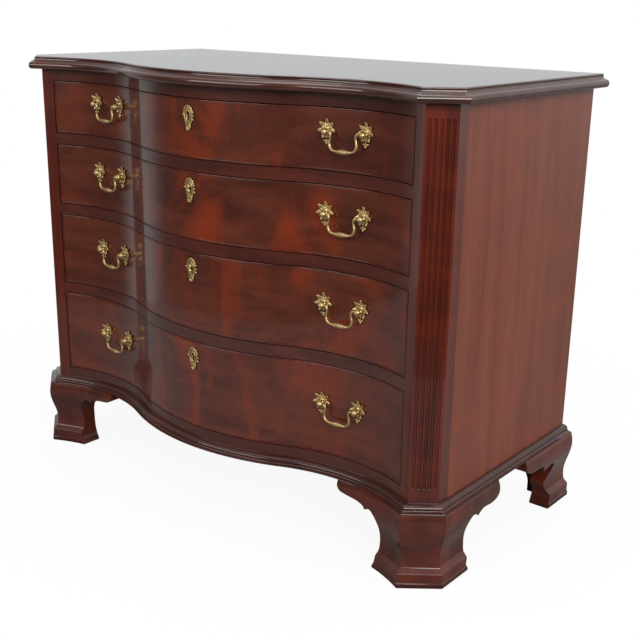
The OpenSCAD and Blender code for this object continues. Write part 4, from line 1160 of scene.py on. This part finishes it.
# %% Give every piece its finish
finishes = [
    (rail_wood, "top_rail drawer_rail_1 drawer_rail_2 drawer_rail_3 bottom_rail"),
    (post_wood, "corner_post_left corner_post_right"),
    (side_wood, "side_panel_left side_panel_right"),
    (back_wood, "back_boards"),
    (inner_wood, "bottom_boards"),
    (inner_deep, "drawer_runners drawer_guides"),
    (block_wood, "foot_glue_blocks"),
]
for n, front in enumerate(fronts, 1):
    paint(front_woods[n - 1], front)
    finishes += [
        (inner_deep, f"drawer_{n}_sides"),
        (inner_wood, f"drawer_{n}_back drawer_{n}_bottom"),
        (lock_brass, f"drawer_{n}_lock"),
        (bolt_steel, f"drawer_{n}_lock_bolt"),
    ]
for material, names in finishes:
    paint(material, *(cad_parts[name] for name in names.split()))
paint(antique_brass, *brass_posts, *brass_rosettes, *keyplates)
paint(antique_brass, *(piece for piece, node in brass_bails))
paint(top_wood, top)
paint(mould_wood, base_mould)
paint(foot_wood, *(foot for foot, node in feet))
print("groups of CAD nodes painted:", len(finishes))

# %% [markdown]
# ## Camera, floor and light
# The camera stands to the right of the chest and a little above it, as in the
# photograph. The floor and the surroundings are white to the camera and darker to
# every other ray, because the fronts are glossy and would mirror a white floor.
# A large soft lamp stands on the right, a weaker one in front on the left, and one
# overhead. A pale window in the surroundings on the left gives the reflection that
# runs down the swelling of the front.

# %% Set up the camera
azimuth, elevation, roll = math.radians(38.92), math.radians(17.35), math.radians(0.99)
back = Vector((math.sin(azimuth) * math.cos(elevation), -math.cos(azimuth) * math.cos(elevation),
               math.sin(elevation)))
level = Vector((math.cos(azimuth), math.sin(azimuth), 0))
upright = back.cross(level)
right = math.cos(roll) * level + math.sin(roll) * upright
up = -math.sin(roll) * level + math.cos(roll) * upright
camera_data = bpy.data.cameras.new("camera")
camera_data.sensor_width = 36
camera_data.lens = 58.19
camera = bpy.data.objects.new("camera", camera_data)
link(camera)
placement = Matrix((right, up, back)).transposed().to_4x4()
placement.translation = Vector((1.3352, -1.5342, 0.9601))
camera.matrix_world = placement
bpy.context.scene.camera = camera
print("camera at", placement.translation)

# %% Floor
floor = started("floor", bpy.ops.mesh.primitive_circle_add, vertices=96, radius=1.5,
                fill_type="NGON", location=(0, 0, 0))
material, g = fresh("floor_white")
seen = g.node("LightPath").outputs["Is Camera Ray"]
far = g.node("VectorMath", {0: g.where()}, operation="LENGTH").outputs["Value"]
whiter = g.eased(far, 0.55, 1.4, 0.92, 1.0)
diffuse = g.node("BsdfDiffuse", {"Color": g.mixed("MIX", seen, grey(0.24), grey(0.84))})
blend = g.node("MixShader", {0: g.maths("MULTIPLY", seen, whiter), 1: diffuse.outputs[0],
                             2: g.node("Emission").outputs[0]})
g.node("OutputMaterial", {"Surface": blend.outputs[0]})
paint(material, floor)

# %% The colours around
world = bpy.data.worlds.new("studio")
bpy.context.scene.world = world
world.use_nodes = True
g = Graph(world.node_tree)
across, along, upward = g.node("SeparateXYZ", {0: g.where("Generated")}).outputs
backdrop = g.maths("MULTIPLY", g.eased(along, 0.0, 0.55, 0.0, 0.66),
                   g.eased(upward, -0.22, -0.02, 0.3, 1.0))
leftward = g.maths("MULTIPLY", across, -1.0)
window = g.maths("MULTIPLY", g.eased(leftward, 0.6, 0.8),
                 g.eased(along, -0.42, -0.08, 0.0, 0.41))
ceiling = g.eased(upward, 0.45, 0.95, 0.0, 0.55)
around_it = g.maths("ADD", g.maths("ADD", g.maths("MAXIMUM", backdrop, window), ceiling), 0.08)
tinted = g.times(around_it, (0.94, 0.99, 1.0, 1))
seen = g.node("LightPath").outputs["Is Camera Ray"]
sky = g.node("Background", {"Color": g.mixed("MIX", seen, tinted, grey(1.0))})
g.node("OutputWorld", {"Surface": sky.outputs[0]})


# %% Lamps
def lamp(name, at, aim, size, size_y, power):
    data = bpy.data.lights.new(name, "AREA")
    data.shape = "RECTANGLE"
    data.size, data.size_y, data.energy = size, size_y, power
    piece = bpy.data.objects.new(name, data)
    link(piece)
    piece.location = at
    piece.rotation_euler = (Vector(at) - Vector(aim)).to_track_quat("Z", "Y").to_euler()


lamp("key", (2.8, -1.6, 1.9), (0, 0, 0.45), 2.0, 1.4, 84)
lamp("fill", (-1.1, -3.2, 1.7), (0, 0, 0.4), 2.4, 1.4, 44)
lamp("overhead", (0, 0.2, 3.2), (0, 0, 0.5), 2.6, 2.0, 40)
bpy.context.scene.view_settings.view_transform = "Standard"
print("lamps:", len(bpy.data.lights))
